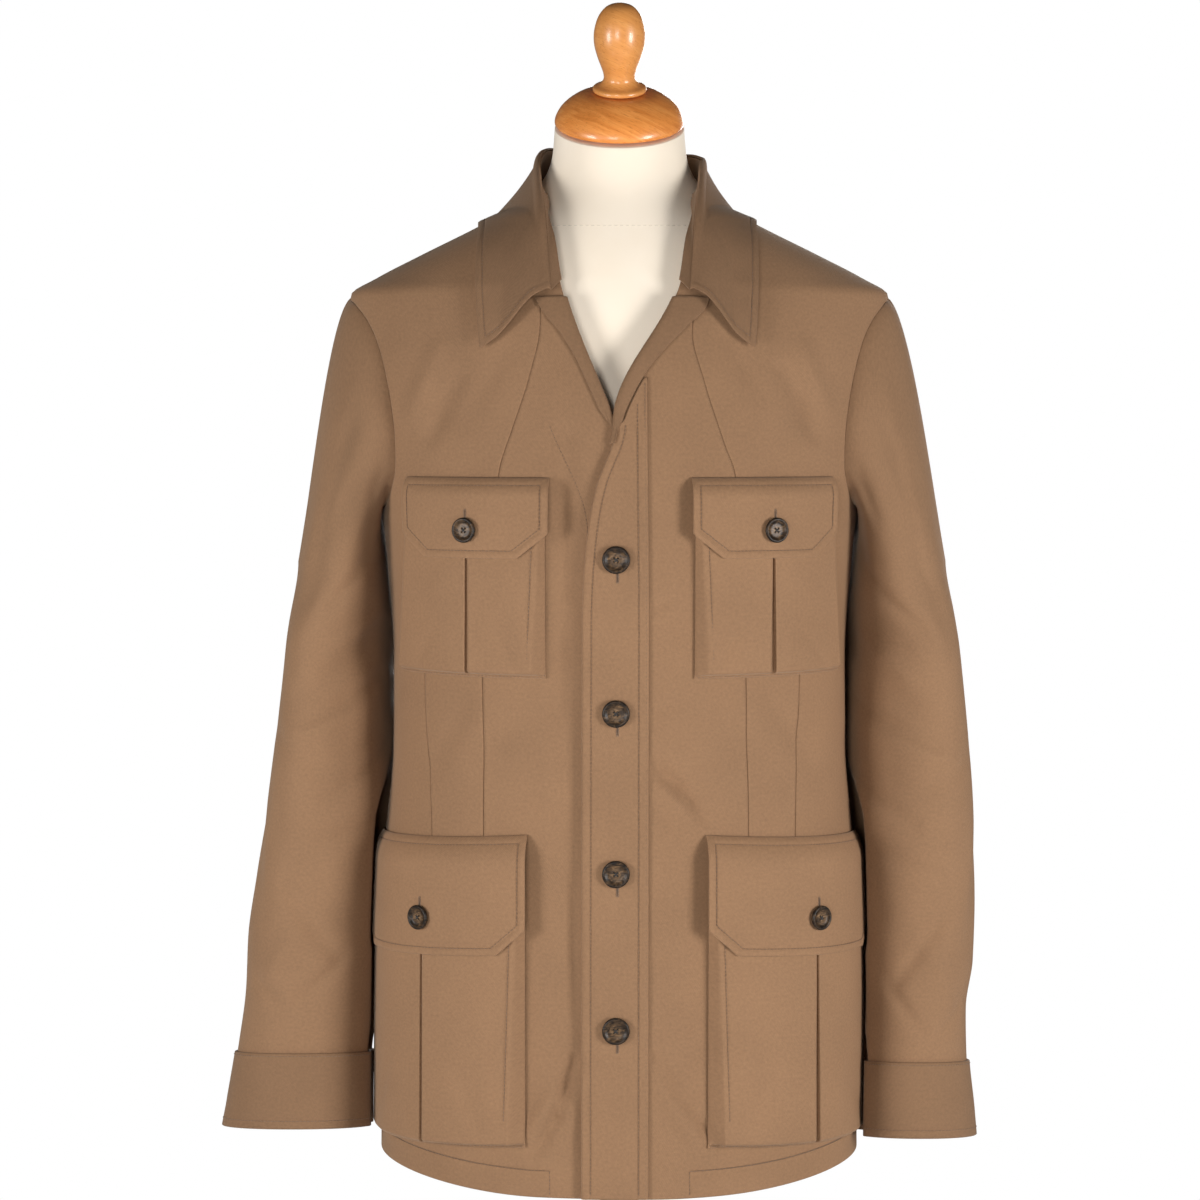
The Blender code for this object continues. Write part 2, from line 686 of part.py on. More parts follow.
# ---------------------------------------------------------------- turned-back front edges and the button band
# Width of the strip of facing that rolls out over each front above the top button.
UNDER_ROLL = (
    # z, width
    (1.275, 0.0062),
    (1.311, 0.0075),
    (1.328, 0.0105),
    (1.357, 0.0215),
    (1.362, 0.0225),
)
UPPER_ROLL = (
    # z, width
    (1.266, 0.0052),
    (1.283, 0.0087),
    (1.311, 0.0128),
    (1.3375, 0.0207),
    (1.356, 0.0280),
    (1.362, 0.0270),
)
ROLL_ROWS = 8
ROLL_WALL = 0.0010
BAND_IN = 0.0218  # inner seam of the button band
BAND_IN_TOP = 0.0205
BAND_Z = (HEM_Z + 0.0006,) + LOWER_Z[1:] + (1.191, 1.225, 1.256, 1.268, 1.280, 1.289)


def lapel(name, hand, edge, widths, look):
    """Facing rolled round the front's edge and lying on the front; its outer face is drawn."""
    rows = []
    for z in spread(widths[0][0], widths[-1][0], ROLL_ROWS):
        start = eased(edge, z)[0]
        width = eased(widths, z)[0]
        profile = (
            (-0.0024, 0.0004),
            (-0.0031, 0.0022),
            (-0.0018, 0.0040),
            (0.0016, 0.0047),
            (width * 0.55, 0.0040),
            (width, 0.0033),
        )
        rows.append([front(hand, start + s, z, out) for s, out in profile])
    return thicken(loft(name, rows, look, flip=hand < 0), ROLL_WALL, outward=False)


def button_band(name, look):
    rows = []
    for level in BAND_Z:
        start = eased(UPPER_EDGE, level)[0] + 0.0006
        if level > 1.262:
            start += eased(UPPER_ROLL, level)[0] + 0.0014
        end = BAND_IN + (BAND_IN_TOP - BAND_IN) * smooth(1.10, 1.28, level)
        rows.append([front(1, s, level, WALL + PLY) for s in spread(start, end, 3)])
    return thicken(loft(name, rows, look), BAND)


# ---------------------------------------------------------------- pockets
FOOT_OUT = WALL + PLY + BAND  # outer face of a pocket's cloth where it is stitched down
FLAP_GAP = 0.0011  # between a bag's face and the flap over it
PLEAT_HALF = 0.0013
PLEAT_DEEP = 0.0030
BAG_ROWS = 5


def between(ends, t):
    return ends[0] + (ends[1] - ends[0]) * t


def bag_depth(size, s, z):
    """How far a pocket's face stands off its foot: more where it sags at the bottom, and less at the side."""
    t = min(1.0, max(0.0, (size["mouth"] - z) / (size["mouth"] - size["bottom"])))
    beside = smooth(size["pleat"], between(size["foot_out"], t), s)
    return size["deep"] * (0.72 + 0.28 * t) * (1.0 - (1.0 - size["outer_share"]) * beside)


def on_pocket(hand, size, s, z, out):
    """Point of a pocket, whose distances and level lines are set to its front."""
    nudge = size["nudge"] if hand > 0 else 0.0
    return front(hand, s - nudge, z - size["slope"] * (s - size["flap_in"]), out)


def pocket_bag(name, hand, size, look):
    """Pocket with a folded side wall and an inverted pleat down its face, open behind and at its mouth."""
    low = size["bottom"]
    pleat = size["pleat"]
    rows = []
    levels = [(z, 1.0) for z in spread(size["mouth"], low + 0.0065, BAG_ROWS)]
    for z, full in levels + [(low + 0.0032, 0.80), (low, 0.0)]:
        t = (size["mouth"] - z) / (size["mouth"] - low)
        face_in, face_out = between(size["face_in"], t), between(size["face_out"], t)
        columns = (
            (size["foot_in"], 0.0),
            (face_in, 0.82),
            (face_in + 0.0028, 1.0),
            ((face_in * 2 + pleat) / 3, 1.0),
            ((face_in + pleat * 2) / 3, 1.0),
            (pleat - PLEAT_HALF, 1.0),
            (pleat - PLEAT_HALF * 0.8, 1.0 - PLEAT_DEEP / size["deep"]),
            (pleat + PLEAT_HALF * 0.8, 1.0 - PLEAT_DEEP / size["deep"]),
            (pleat + PLEAT_HALF, 1.0),
            ((face_out + pleat * 2) / 3, 1.0),
            ((face_out * 2 + pleat) / 3, 1.0),
            (face_out - 0.0028, 1.0),
            (face_out, 0.82),
            (between(size["foot_out"], t), 0.0),
        )
        row = []
        for s, share in columns:
            row.append(on_pocket(hand, size, s, z, FOOT_OUT + bag_depth(size, s, z) * full * share))
        rows.append(row)
    return thicken(loft(name, rows, look, flip=hand > 0), BAND, outward=False)


def pocket_flap(name, hand, size, look):
    """Flap sewn above the mouth, bent out over the bag, with its lower corners cut off."""
    height = size["flap_top"] - size["flap_bottom"]
    cut = 1.0 - size["chamfer_h"] / height
    rows = []
    for share in (0.0, 0.10, 0.22, 0.45, cut, 1.0):
        z = size["flap_top"] - height * share
        narrow = size["chamfer_w"] * max(0.0, share - cut) / (1.0 - cut)
        row = []
        for s in spread(size["flap_in"] + narrow, size["flap_out"] - narrow, size["flap_columns"]):
            over = FOOT_OUT + bag_depth(size, s, z) + FLAP_GAP
            out = WALL + PLY + (over - WALL - PLY) * smooth(0.0, 0.24, share)
            row.append(on_pocket(hand, size, s, z, out))
        rows.append(row)
    return thicken(loft(name, rows, look, flip=hand > 0), BAND)


# ---------------------------------------------------------------- buttons
def on_front(hand, s, z, out):
    """Frame on a front, with its own Z straight out of the cloth and Y up."""
    step = 0.008
    across = front(hand, s + hand * step, z, out) - front(hand, s - hand * step, z, out)
    up = front(hand, s, z + step, out) - front(hand, s, z - step, out)
    outward = across.cross(up).normalized()
    level = across.normalized()
    made = Matrix((level, outward.cross(level), outward)).transposed().to_4x4()
    made.translation = front(hand, s, z, out)
    return made


def button(name, radius, matrix, look):
    profile = (
        (0.0, 0.0022),
        (radius * 0.62, 0.0024),
        (radius * 0.82, 0.0040),
        (radius, 0.0032),
        (radius * 0.86, 0.0),
        (0.0, 0.0),
    )
    return turned(name, profile, 14, look, matrix)


# ---------------------------------------------------------------- dress form and stand
FORM_AROUND = 28
FORM_Z = (0.730, 0.800, 0.890, 1.000, 1.080, 1.150, 1.210, 1.270, 1.320, 1.348, 1.367) + SHOULDER_Z


def form_ring(half, ahead, back, power, z, tilt=0.0):
    points = []
    for i in range(FORM_AROUND):
        angle = 2.0 * math.pi * i / FORM_AROUND
        across, along = math.cos(angle), math.sin(angle)
        depth = ahead if along < 0.0 else back
        x = half * math.copysign(abs(across) ** (2.0 / power), across)
        y = depth * math.copysign(abs(along) ** (2.0 / power), along)
        points.append(Vector((x, y, z + y * math.tan(tilt))))
    return points


def form_body(name, look):
    rows = []
    for z in FORM_Z:
        half, ahead, back, power = eased(TORSO, z)
        beside, before, behind = eased(FORM_INSET, z)
        rows.append(form_ring(half - beside, ahead - before, back - behind, power, z))
    for i, (z, half, ahead, back) in enumerate(FORM_NECK):
        rows.append(form_ring(half, ahead, back, 2.0, z, NECK_TILT * i / (len(FORM_NECK) - 1)))
    return loft(name, rows, look, wrap=True, caps=True)


# Turned pieces, as (radius, height) from the top of the axis round to its bottom.
CAP = (
    (0.0, 0.0316),
    (0.0270, 0.0316),
    (0.0350, 0.0288),
    (0.0430, 0.0236),
    (0.0490, 0.0178),
    (0.0526, 0.0112),
    (0.0536, 0.0068),
    (0.0520, 0.0030),
    (0.0, 0.0030),
)
FINIAL = (
    (0.0, 0.1054),
    (0.0110, 0.1028),
    (0.0180, 0.0940),
    (0.0213, 0.0820),
    (0.0211, 0.0710),
    (0.0176, 0.0592),
    (0.0138, 0.0500),
    (0.0124, 0.0430),
    (0.0160, 0.0383),
    (0.0221, 0.0366),
    (0.0221, 0.0332),
    (0.0205, 0.0320),
    (0.0, 0.0320),
)
BASE = (
    (0.0, 0.0520),
    (0.0260, 0.0520),
    (0.0300, 0.0470),
    (0.0320, 0.0330),
    (0.0600, 0.0285),
    (BASE_R - 0.0200, 0.0210),
    (BASE_R - 0.0040, 0.0160),
    (BASE_R, 0.0110),
    (BASE_R, 0.0030),
    (BASE_R - 0.0030, 0.0),
    (0.0, 0.0),
)


def stand(looks):
    tilt = Matrix.Translation(CAP_SEAT) @ Matrix.Rotation(NECK_TILT, 4, "X")
    turned("neck_cap", CAP, 24, looks["wood"], tilt)
    turned("finial", FINIAL, 16, looks["wood"], tilt)
    turned("base", BASE, 28, looks["metal"], Matrix.Identity(4))
    low, high = BASE[0][1] + SEAM, FORM_Z[0] - SEAM
    pole = ((0.0, high), (POLE_R, high), (POLE_R, low), (0.0, low))
    turned("pole", pole, 18, looks["metal"], Matrix.Identity(4))


# ---------------------------------------------------------------- the whole
def main():
    looks = {
        "body": cloth_material("body_cloth"),
        "sleeve": cloth_material("sleeve_cloth", 0.96),
        "trim": cloth_material("trim_cloth", 0.85),
        "pocket": cloth_material("pocket_cloth", 1.04),
        "horn": material("horn", (0.045, 0.032, 0.026), 0.35),
        "linen": material("form_cover", (0.86, 0.78, 0.66), 0.75),
        "wood": material("beech", (0.62, 0.29, 0.11), 0.30),
        "metal": material("painted_steel", (0.20, 0.19, 0.18), 0.45, 0.6),
    }
    front_panel("front_right", -1, UNDER_EDGE, looks["body"])
    front_panel("front_left", 1, UPPER_EDGE, looks["body"])
    back_panel("back", looks["body"])
    collar_stand("collar_stand", looks["trim"])
    collar_leaf("collar_leaf", looks["trim"])
    lapel("lapel_right", -1, UNDER_EDGE, UNDER_ROLL, looks["trim"])
    lapel("lapel_left", 1, UPPER_EDGE, UPPER_ROLL, looks["trim"])
    button_band("button_band", looks["body"])
    flap_out = FOOT_OUT + FLAP_GAP + BAND + SEAM
    for word, hand in (("right", -1), ("left", 1)):
        sleeve(f"sleeve_{word}", hand, looks["sleeve"])
        cuff(f"cuff_{word}", hand, looks["trim"])
        for place, size in (("chest", CHEST), ("hip", HIP_LEFT if hand > 0 else HIP)):
            pocket_bag(f"{place}_pocket_{word}", hand, size, looks["pocket"])
            pocket_flap(f"{place}_flap_{word}", hand, size, looks["pocket"])
            out = flap_out + bag_depth(size, size["pleat"], size["button_z"])
            nudge = size["nudge"] if hand > 0 else 0.0
            level = size["button_z"] - size["slope"] * (size["pleat"] - size["flap_in"])
            matrix = on_front(hand, size["pleat"] - nudge, level, out)
            button(f"{place}_button_{word}", POCKET_BUTTON_R, matrix, looks["horn"])
    for i, z in enumerate(BUTTON_Z):
        matrix = on_front(1, BUTTON_S, z, FOOT_OUT + SEAM)
        button(f"front_button_{i + 1}", FRONT_BUTTON_R, matrix, looks["horn"])
    form_body("form_body", looks["linen"])
    stand(looks)


clear_scene()
PART = bpy.data.collections.new("safari_jacket_on_form")
bpy.context.scene.collection.children.link(PART)
main()
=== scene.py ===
"""Looks for a safari jacket on a dress form: fine cloth, seams, stitches, buttons and wood over the frame.

Metres, +Z up, front at -Y, in the frame's own coordinates. The jacket's shape is one surface, torso(), found
by the distance around the body from the centre front and by height, so that pockets, bands and stitches lie
on it. Cloth coordinates (the layer "cloth") are metres too, and each kind of piece has its own start in them.
"""

import math

import bpy
import numpy as np
from mathutils import Matrix, Vector


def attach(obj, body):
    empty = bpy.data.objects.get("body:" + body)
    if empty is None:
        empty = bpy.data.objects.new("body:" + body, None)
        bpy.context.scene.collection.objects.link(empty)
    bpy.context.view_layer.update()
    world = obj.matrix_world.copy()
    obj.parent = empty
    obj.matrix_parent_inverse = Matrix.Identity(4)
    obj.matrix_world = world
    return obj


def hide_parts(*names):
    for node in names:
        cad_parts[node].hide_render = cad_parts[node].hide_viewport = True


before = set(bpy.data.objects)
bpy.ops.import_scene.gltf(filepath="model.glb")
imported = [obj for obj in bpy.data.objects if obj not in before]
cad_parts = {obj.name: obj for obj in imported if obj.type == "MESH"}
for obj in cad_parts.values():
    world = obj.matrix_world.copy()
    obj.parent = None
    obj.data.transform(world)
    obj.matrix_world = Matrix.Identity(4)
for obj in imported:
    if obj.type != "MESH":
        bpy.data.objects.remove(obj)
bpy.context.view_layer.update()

# ---------------------------------------------------------------- driving dimensions, as in the solids
WALL = 0.0015
BAND = 0.0012
SEAM = 0.0003
PLY = 0.0008
LAP_LIFT = 0.0025
HEM_Z = 0.649
SIDE_HEM_RISE = 0.0095
HEM_FADE_Z = 0.780
NECK_Z = 1.448

TORSO = (
    # z, half width, front, back, exponent
    (0.600, 0.1995, 0.134, 0.124, 2.30),
    (0.700, 0.1985, 0.133, 0.123, 2.30),
    (0.800, 0.1980, 0.131, 0.120, 2.32),
    (0.910, 0.1945, 0.128, 0.112, 2.34),
    (1.000, 0.1862, 0.126, 0.104, 2.36),
    (1.070, 0.1858, 0.128, 0.109, 2.36),
    (1.150, 0.1908, 0.131, 0.119, 2.36),
    (1.200, 0.1960, 0.130, 0.124, 2.36),
    (1.280, 0.2060, 0.122, 0.126, 2.32),
    (1.340, 0.2155, 0.109, 0.120, 2.25),
    (1.367, 0.2200, 0.100, 0.114, 2.20),
    (1.380, 0.2000, 0.095, 0.110, 2.20),
    (1.399, 0.1630, 0.088, 0.103, 2.20),
    (1.424, 0.1125, 0.077, 0.092, 2.20),
    (1.448, 0.0700, 0.064, 0.071, 2.20),
)
UNDER_EDGE = (
    # z, distance
    (0.600, -0.0240),
    (1.180, -0.0240),
    (1.262, 0.0055),
    (1.375, 0.0480),
    (1.410, 0.0540),
    (1.448, 0.0660),
)
UPPER_EDGE = (
    # z, distance
    (0.600, -0.0304),
    (1.109, -0.0296),
    (1.150, -0.0280),
    (1.191, -0.0235),
    (1.216, -0.0180),
    (1.257, -0.0035),
    (1.273, -0.0023),
    (1.375, 0.0480),
    (1.410, 0.0540),
    (1.448, 0.0660),
)
ARMHOLE = (
    # z, reach
    (1.190, 0.000),
    (1.197, 0.045),
    (1.210, 0.062),
    (1.230, 0.072),
    (1.255, 0.074),
    (1.280, 0.072),
    (1.305, 0.067),
    (1.330, 0.058),
    (1.348, 0.045),
    (1.360, 0.027),
    (1.367, 0.000),
)
FRONT_FOLDS = (
    # from, z, to, z, height, half width
    (-0.042, 1.080, -0.040, 0.740, -0.0028, 0.013),
    (-0.036, 0.735, -0.070, 0.680, 0.0030, 0.012),
    (0.030, 0.990, 0.060, 0.955, -0.0024, 0.015),
    (0.034, 0.750, 0.068, 0.690, 0.0030, 0.013),
    (-0.066, 1.045, -0.120, 0.985, -0.0022, 0.018),
    (0.064, 1.050, 0.118, 0.985, -0.0022, 0.018),
    (-0.160, 1.300, -0.120, 1.235, -0.0030, 0.016),
    (0.165, 1.295, 0.125, 1.235, -0.0026, 0.016),
    (-0.215, 1.060, -0.220, 0.960, 0.0012, 0.017),
    (0.215, 1.070, 0.222, 0.965, 0.0012, 0.017),
)
CREASED = 2.7  # depth of the shallow creases against their tables
FRONT_CREASES = (
    # the same, soft and shallow, on the cloth alone
    (-0.045, 1.250, -0.043, 1.140, -0.0024, 0.012),
    (-0.043, 1.130, -0.049, 1.040, -0.0014, 0.009),
    (-0.058, 1.225, -0.056, 1.150, 0.0007, 0.008),
    (-0.036, 0.760, -0.050, 0.715, -0.0023, 0.0058),
    (-0.050, 0.715, -0.068, 0.684, -0.0022, 0.0058),
    (-0.052, 0.735, -0.072, 0.700, 0.0014, 0.0065),
    (-0.038, 0.900, -0.036, 0.800, -0.0007, 0.006),
    (-0.060, 1.020, -0.047, 0.960, 0.0006, 0.009),
    (-0.075, 0.972, -0.052, 0.955, -0.0006, 0.006),
    (0.026, 0.993, 0.046, 0.978, -0.0019, 0.0052),
    (0.046, 0.978, 0.066, 0.950, -0.0017, 0.0052),
    (0.034, 0.975, 0.056, 0.955, 0.0015, 0.0060),
    (0.029, 1.013, 0.052, 0.999, 0.0008, 0.0070),
    (0.028, 0.958, 0.040, 0.945, -0.0008, 0.0045),
    (0.027, 1.118, 0.038, 1.127, -0.0008, 0.0045),
    (0.027, 1.036, 0.045, 1.044, -0.0006, 0.0050),
    (0.028, 0.762, 0.054, 0.722, -0.0018, 0.0055),
    (0.054, 0.722, 0.080, 0.686, -0.0014, 0.0055),
    (0.044, 0.722, 0.068, 0.690, 0.0008, 0.0070),
    (0.030, 0.840, 0.036, 0.800, -0.0006, 0.0060),
    (0.120, 1.045, 0.165, 0.985, -0.0008, 0.010),
    (-0.125, 1.040, -0.160, 0.985, -0.0007, 0.010),
    (0.130, 1.305, 0.160, 1.255, -0.0012, 0.008),
    (0.148, 1.320, 0.172, 1.275, 0.0010, 0.009),
    (-0.128, 1.300, -0.158, 1.250, -0.0010, 0.008),
    (-0.146, 1.322, -0.176, 1.268, 0.0010, 0.009),
    (0.085, 1.330, 0.110, 1.285, -0.0006, 0.009),
    (-0.092, 1.318, -0.120, 1.270, -0.0006, 0.010),
    (0.012, 0.895, 0.018, 0.870, -0.0005, 0.006),
    (-0.010, 0.760, 0.004, 0.745, -0.0005, 0.006),
    (0.000, 0.668, 0.006, 0.650, 0.0007, 0.007),
)
BACK_FOLDS = (
    # from, z, to, z, height, half width
    (-0.150, 1.290, -0.110, 1.160, -0.0040, 0.020),
    (0.158, 1.300, 0.112, 1.180, -0.0036, 0.020),
    (-0.060, 0.930, -0.080, 0.700, 0.0040, 0.024),
    (0.052, 0.940, 0.066, 0.690, 0.0036, 0.022),
    (-0.150, 0.920, -0.165, 0.690, 0.0034, 0.024),
    (0.140, 0.930, 0.160, 0.690, 0.0038, 0.024),
    (-0.130, 1.030, -0.030, 1.010, -0.0030, 0.016),
    (0.030, 1.015, 0.140, 1.040, -0.0030, 0.016),
)
BACK_CREASES = (
    # the same, soft and shallow, on the cloth alone
    (-0.120, 1.345, -0.020, 1.352, -0.0009, 0.009),
    (0.014, 1.348, 0.128, 1.340, -0.0010, 0.010),
    (-0.175, 1.260, -0.128, 1.120, -0.0012, 0.008),
    (0.178, 1.265, 0.132, 1.135, -0.0014, 0.008),
    (-0.160, 1.180, -0.104, 1.060, 0.0009, 0.010),
    (0.158, 1.190, 0.106, 1.070, 0.0008, 0.011),
    (-0.140, 1.055, -0.062, 1.040, -0.0010, 0.006),
    (-0.040, 1.030, 0.046, 1.024, -0.0009, 0.006),
    (0.052, 1.046, 0.146, 1.060, -0.0011, 0.006),
    (-0.108, 1.004, -0.020, 0.990, -0.0008, 0.007),
    (0.022, 0.994, 0.104, 1.012, -0.0009, 0.007),
    (-0.030, 0.900, -0.044, 0.760, -0.0012, 0.009),
    (0.024, 0.880, 0.034, 0.730, -0.0010, 0.009),
    (-0.104, 0.900, -0.122, 0.720, -0.0013, 0.010),
    (0.096, 0.905, 0.112, 0.700, -0.0012, 0.010),
    (0.000, 1.250, 0.004, 1.110, -0.0006, 0.012),
)
SLEEVE_RIGHT_HAND = (
    # z, outer x, inner x, middle y, half depth
    (0.655, 0.3322, 0.2055, -0.018, 0.0500),
    (0.693, 0.3262, 0.2055, -0.018, 0.0500),
    (0.743, 0.3172, 0.2040, -0.017, 0.0510),
    (0.790, 0.3103, 0.1990, -0.015, 0.0545),
    (0.838, 0.3077, 0.1945, -0.013, 0.0580),
    (0.890, 0.3000, 0.1900, -0.011, 0.0610),
    (0.965, 0.2878, 0.1865, -0.009, 0.0655),
    (1.040, 0.2768, 0.1885, -0.007, 0.0695),
    (1.100, 0.2700, 0.1885, -0.005, 0.0720),
    (1.150, 0.2655, 0.1935, -0.002, 0.0740),
)
SLEEVE_LEFT_HAND = (
    # z, outer x, inner x, middle y, half depth
    (0.655, 0.2975, 0.1940, -0.020, 0.0530),
    (0.693, 0.2947, 0.1950, -0.020, 0.0530),
    (0.743, 0.2892, 0.1960, -0.018, 0.0540),
    (0.780, 0.2880, 0.1955, -0.016, 0.0555),
    (0.820, 0.2932, 0.1935, -0.014, 0.0575),
    (0.870, 0.2942, 0.1910, -0.012, 0.0600),
    (0.935, 0.2922, 0.1880, -0.010, 0.0635),
    (1.013, 0.2852, 0.1865, -0.007, 0.0680),
    (1.070, 0.2788, 0.1875, -0.005, 0.0705),
    (1.110, 0.2738, 0.1885, -0.004, 0.0725),
    (1.150, 0.2700, 0.1935, -0.002, 0.0740),
)
SLEEVE_EXPONENT = 2.15
SLEEVE_CLEAR = 0.0032
HIP_CLEAR = (
    # z, least gap in front
    (0.825, 0.0112),
    (0.845, 0.0135),
    (0.935, 0.0135),
    (0.990, SLEEVE_CLEAR),
)
SLEEVE_TURN = (
    # z, sideways shift for each metre toward the back
    (0.700, 0.04),
    (0.800, 0.14),
    (0.930, 0.20),
    (1.000, 0.26),
    (1.080, 0.26),
    (1.150, 0.00),
)
END_RISE = 0.20
END_FADE = (0.742, 0.900)
END_DROP = 0.0035
CUFF_TOP_Z = 0.735
CUFF_END_Z = 0.673
SLEEVE_END_Z = 0.725
METRES_PER_DEGREE = 0.00105
SLEEVE_FOLDS = (
    # angle, z, angle, z, height, half width
    (95.0, 1.290, 30.0, 1.180, -0.0040, 0.018),
    (120.0, 1.230, 60.0, 1.110, -0.0036, 0.017),
    (150.0, 1.060, 80.0, 1.030, -0.0034, 0.014),
    (165.0, 0.995, 100.0, 0.975, -0.0034, 0.014),
    (260.0, 1.240, 330.0, 1.120, -0.0040, 0.020),
    (200.0, 1.020, 270.0, 1.000, -0.0032, 0.015),
    (60.0, 0.920, 110.0, 0.850, -0.0024, 0.016),
    (300.0, 0.900, 240.0, 0.830, -0.0026, 0.018),
)
SLEEVE_CREASES = (
    # the same, soft and shallow, on the cloth alone
    (140.0, 1.285, 118.0, 1.200, -0.0018, 0.007),
    (126.0, 1.300, 104.0, 1.225, 0.0010, 0.009),
    (100.0, 1.215, 62.0, 1.140, -0.0010, 0.008),
    (150.0, 1.160, 96.0, 1.110, -0.0012, 0.007),
    (160.0, 1.100, 112.0, 1.070, 0.0009, 0.008),
    (170.0, 1.045, 88.0, 1.012, -0.0013, 0.006),
    (128.0, 1.018, 66.0, 1.000, 0.0009, 0.007),
    (176.0, 0.985, 104.0, 0.950, -0.0012, 0.006),
    (150.0, 0.930, 84.0, 0.905, -0.0008, 0.007),
    (40.0, 1.005, 92.0, 0.982, -0.0007, 0.008),
    (72.0, 0.880, 118.0, 0.812, -0.0011, 0.007),
    (96.0, 0.850, 60.0, 0.790, 0.0007, 0.008),
    (128.0, 0.812, 88.0, 0.768, -0.0010, 0.006),
    (50.0, 0.790, 84.0, 0.756, -0.0009, 0.006),
    (20.0, 0.930, 48.0, 0.850, -0.0006, 0.010),
    (232.0, 1.300, 262.0, 1.200, -0.0016, 0.008),
    (205.0, 1.180, 262.0, 1.120, -0.0014, 0.008),
    (190.0, 1.050, 268.0, 1.020, -0.0014, 0.006),
    (215.0, 1.000, 290.0, 0.985, 0.0010, 0.008),
    (200.0, 0.960, 262.0, 0.930, -0.0012, 0.007),
    (300.0, 0.900, 252.0, 0.830, -0.0010, 0.008),
    (240.0, 0.800, 290.0, 0.765, -0.0010, 0.007),
    (330.0, 1.100, 352.0, 1.000, -0.0007, 0.012),
)
COLLAR = (
    # fold x, y, z, outer x, y, z
    (0.0000, 0.0740, 1.490, 0.0000, 0.1060, 1.424),
    (0.0360, 0.0670, 1.489, 0.0550, 0.1000, 1.424),
    (0.0585, 0.0410, 1.487, 0.0950, 0.0720, 1.424),
    (0.0665, 0.0040, 1.479, 0.1095, 0.0150, 1.423),
    (0.0645, -0.0360, 1.458, 0.1085, -0.0400, 1.415),
    (0.0600, -0.0755, 1.425, 0.1105, -0.0800, 1.388),
    (0.0572, -0.0935, 1.392, 0.1095, -0.0960, 1.355),
    (0.0550, -0.1050, 1.368, 0.1070, -0.1060, 1.323),
)
LEAF_CLEAR = (
    # steps round from the centre back, underside of the leaf off the body
    (0, 0.0040),
    (3, 0.0028),
    (4, 0.0034),
    (5, 0.0056),
    (6, 0.0062),
    (7, 0.0062),
)
LEAF_CROWN = (
    # steps round from the centre back, height
    (0, 0.0030),
    (1, 0.0010),
    (2, -0.0025),
    (4, -0.0035),
    (5, 0.0010),
    (6, 0.0050),
    (7, 0.0060),
)
STAND_NECK = 4.4
STAND_END_Z = 1.376
STAND_INSET = 0.0009
STAND_RAISE = 0.0035
STAND_FOOT = (
    # share of the way, along, out
    (0.00, -0.0040, 0.0000),
    (0.20, -0.0032, 0.0010),
    (0.45, -0.0018, 0.0018),
    (1.00, -0.0016, 0.0018),
)
UNDER_ROLL = (
    # z, width
    (1.259, 0.0022),
    (1.275, 0.0062),
    (1.311, 0.0075),
    (1.328, 0.0105),
    (1.357, 0.0215),
    (1.362, 0.0225),
)
UPPER_ROLL = (
    # z, width
    (1.248, 0.0012),
    (1.266, 0.0046),
    (1.283, 0.0087),
    (1.311, 0.0128),
    (1.3375, 0.0207),
    (1.356, 0.0280),
    (1.362, 0.0270),
)
ROLL_WALL = 0.0010
BAND_IN = 0.0218
BAND_IN_TOP = 0.0205
CHEST = dict(
    flap_in=0.0560, flap_out=0.1795, flap_top=1.2205, flap_bottom=1.1590, chamfer_w=0.023, chamfer_h=0.0185,
    foot_in=0.0585, foot_out=(0.1805, 0.1990), mouth=1.2010, bottom=1.0640, face_in=(0.0615, 0.0670),
    face_out=(0.1775, 0.1950), deep=0.0085, outer_share=0.60, pleat=0.1195, button_z=1.1805, slope=0.0,
    nudge=0.0005,
)
HIP = dict(
    flap_in=0.0735, flap_out=0.2500, flap_top=0.9385, flap_bottom=0.8460, chamfer_w=0.022, chamfer_h=0.019,
    foot_in=0.0750, foot_out=(0.2510, 0.2530), mouth=0.9150, bottom=0.6895, face_in=(0.0790, 0.0850),
    face_out=(0.2480, 0.2495), deep=0.0115, outer_share=0.42, pleat=0.1590, button_z=0.8755, slope=0.075,
    nudge=0.0055,
)
FOOT_OUT = WALL + PLY + BAND
FLAP_GAP = 0.0011
HIPS = {-1: HIP, 1: dict(HIP, pleat=0.1635)}

BUTTON_Z = (1.1578, 1.0371, 0.9097, 0.7851)
BUTTON_S = -0.0035
FRONT_BUTTON_R = 0.0110
POCKET_BUTTON_R = 0.0100
FORM_INSET = (
    # z, at the sides, in front, behind
    (0.730, 0.0160, 0.0160, 0.0160),
    (1.280, 0.0140, 0.0120, 0.0120),
    (1.340, 0.0080, 0.0100, 0.0080),
    (1.367, 0.0030, 0.0090, 0.0060),
    (1.380, 0.0013, 0.0085, 0.0050),
    (1.430, 0.0013, 0.0080, 0.0050),
)
FORM_NECK = (
    # z, half width, front, back
    (1.4340, 0.0900, 0.0635, 0.0745),
    (1.4405, 0.0745, 0.0605, 0.0680),
    (1.4500, 0.0630, 0.0575, 0.0625),
    (1.4640, 0.0575, 0.0545, 0.0595),
    (1.4820, 0.0548, 0.0520, 0.0570),
    (1.5045, 0.0532, 0.0500, 0.0550),
)
NECK_TILT = math.radians(23.0)
CAP_SEAT = (0.0, 0.003, 1.5035)


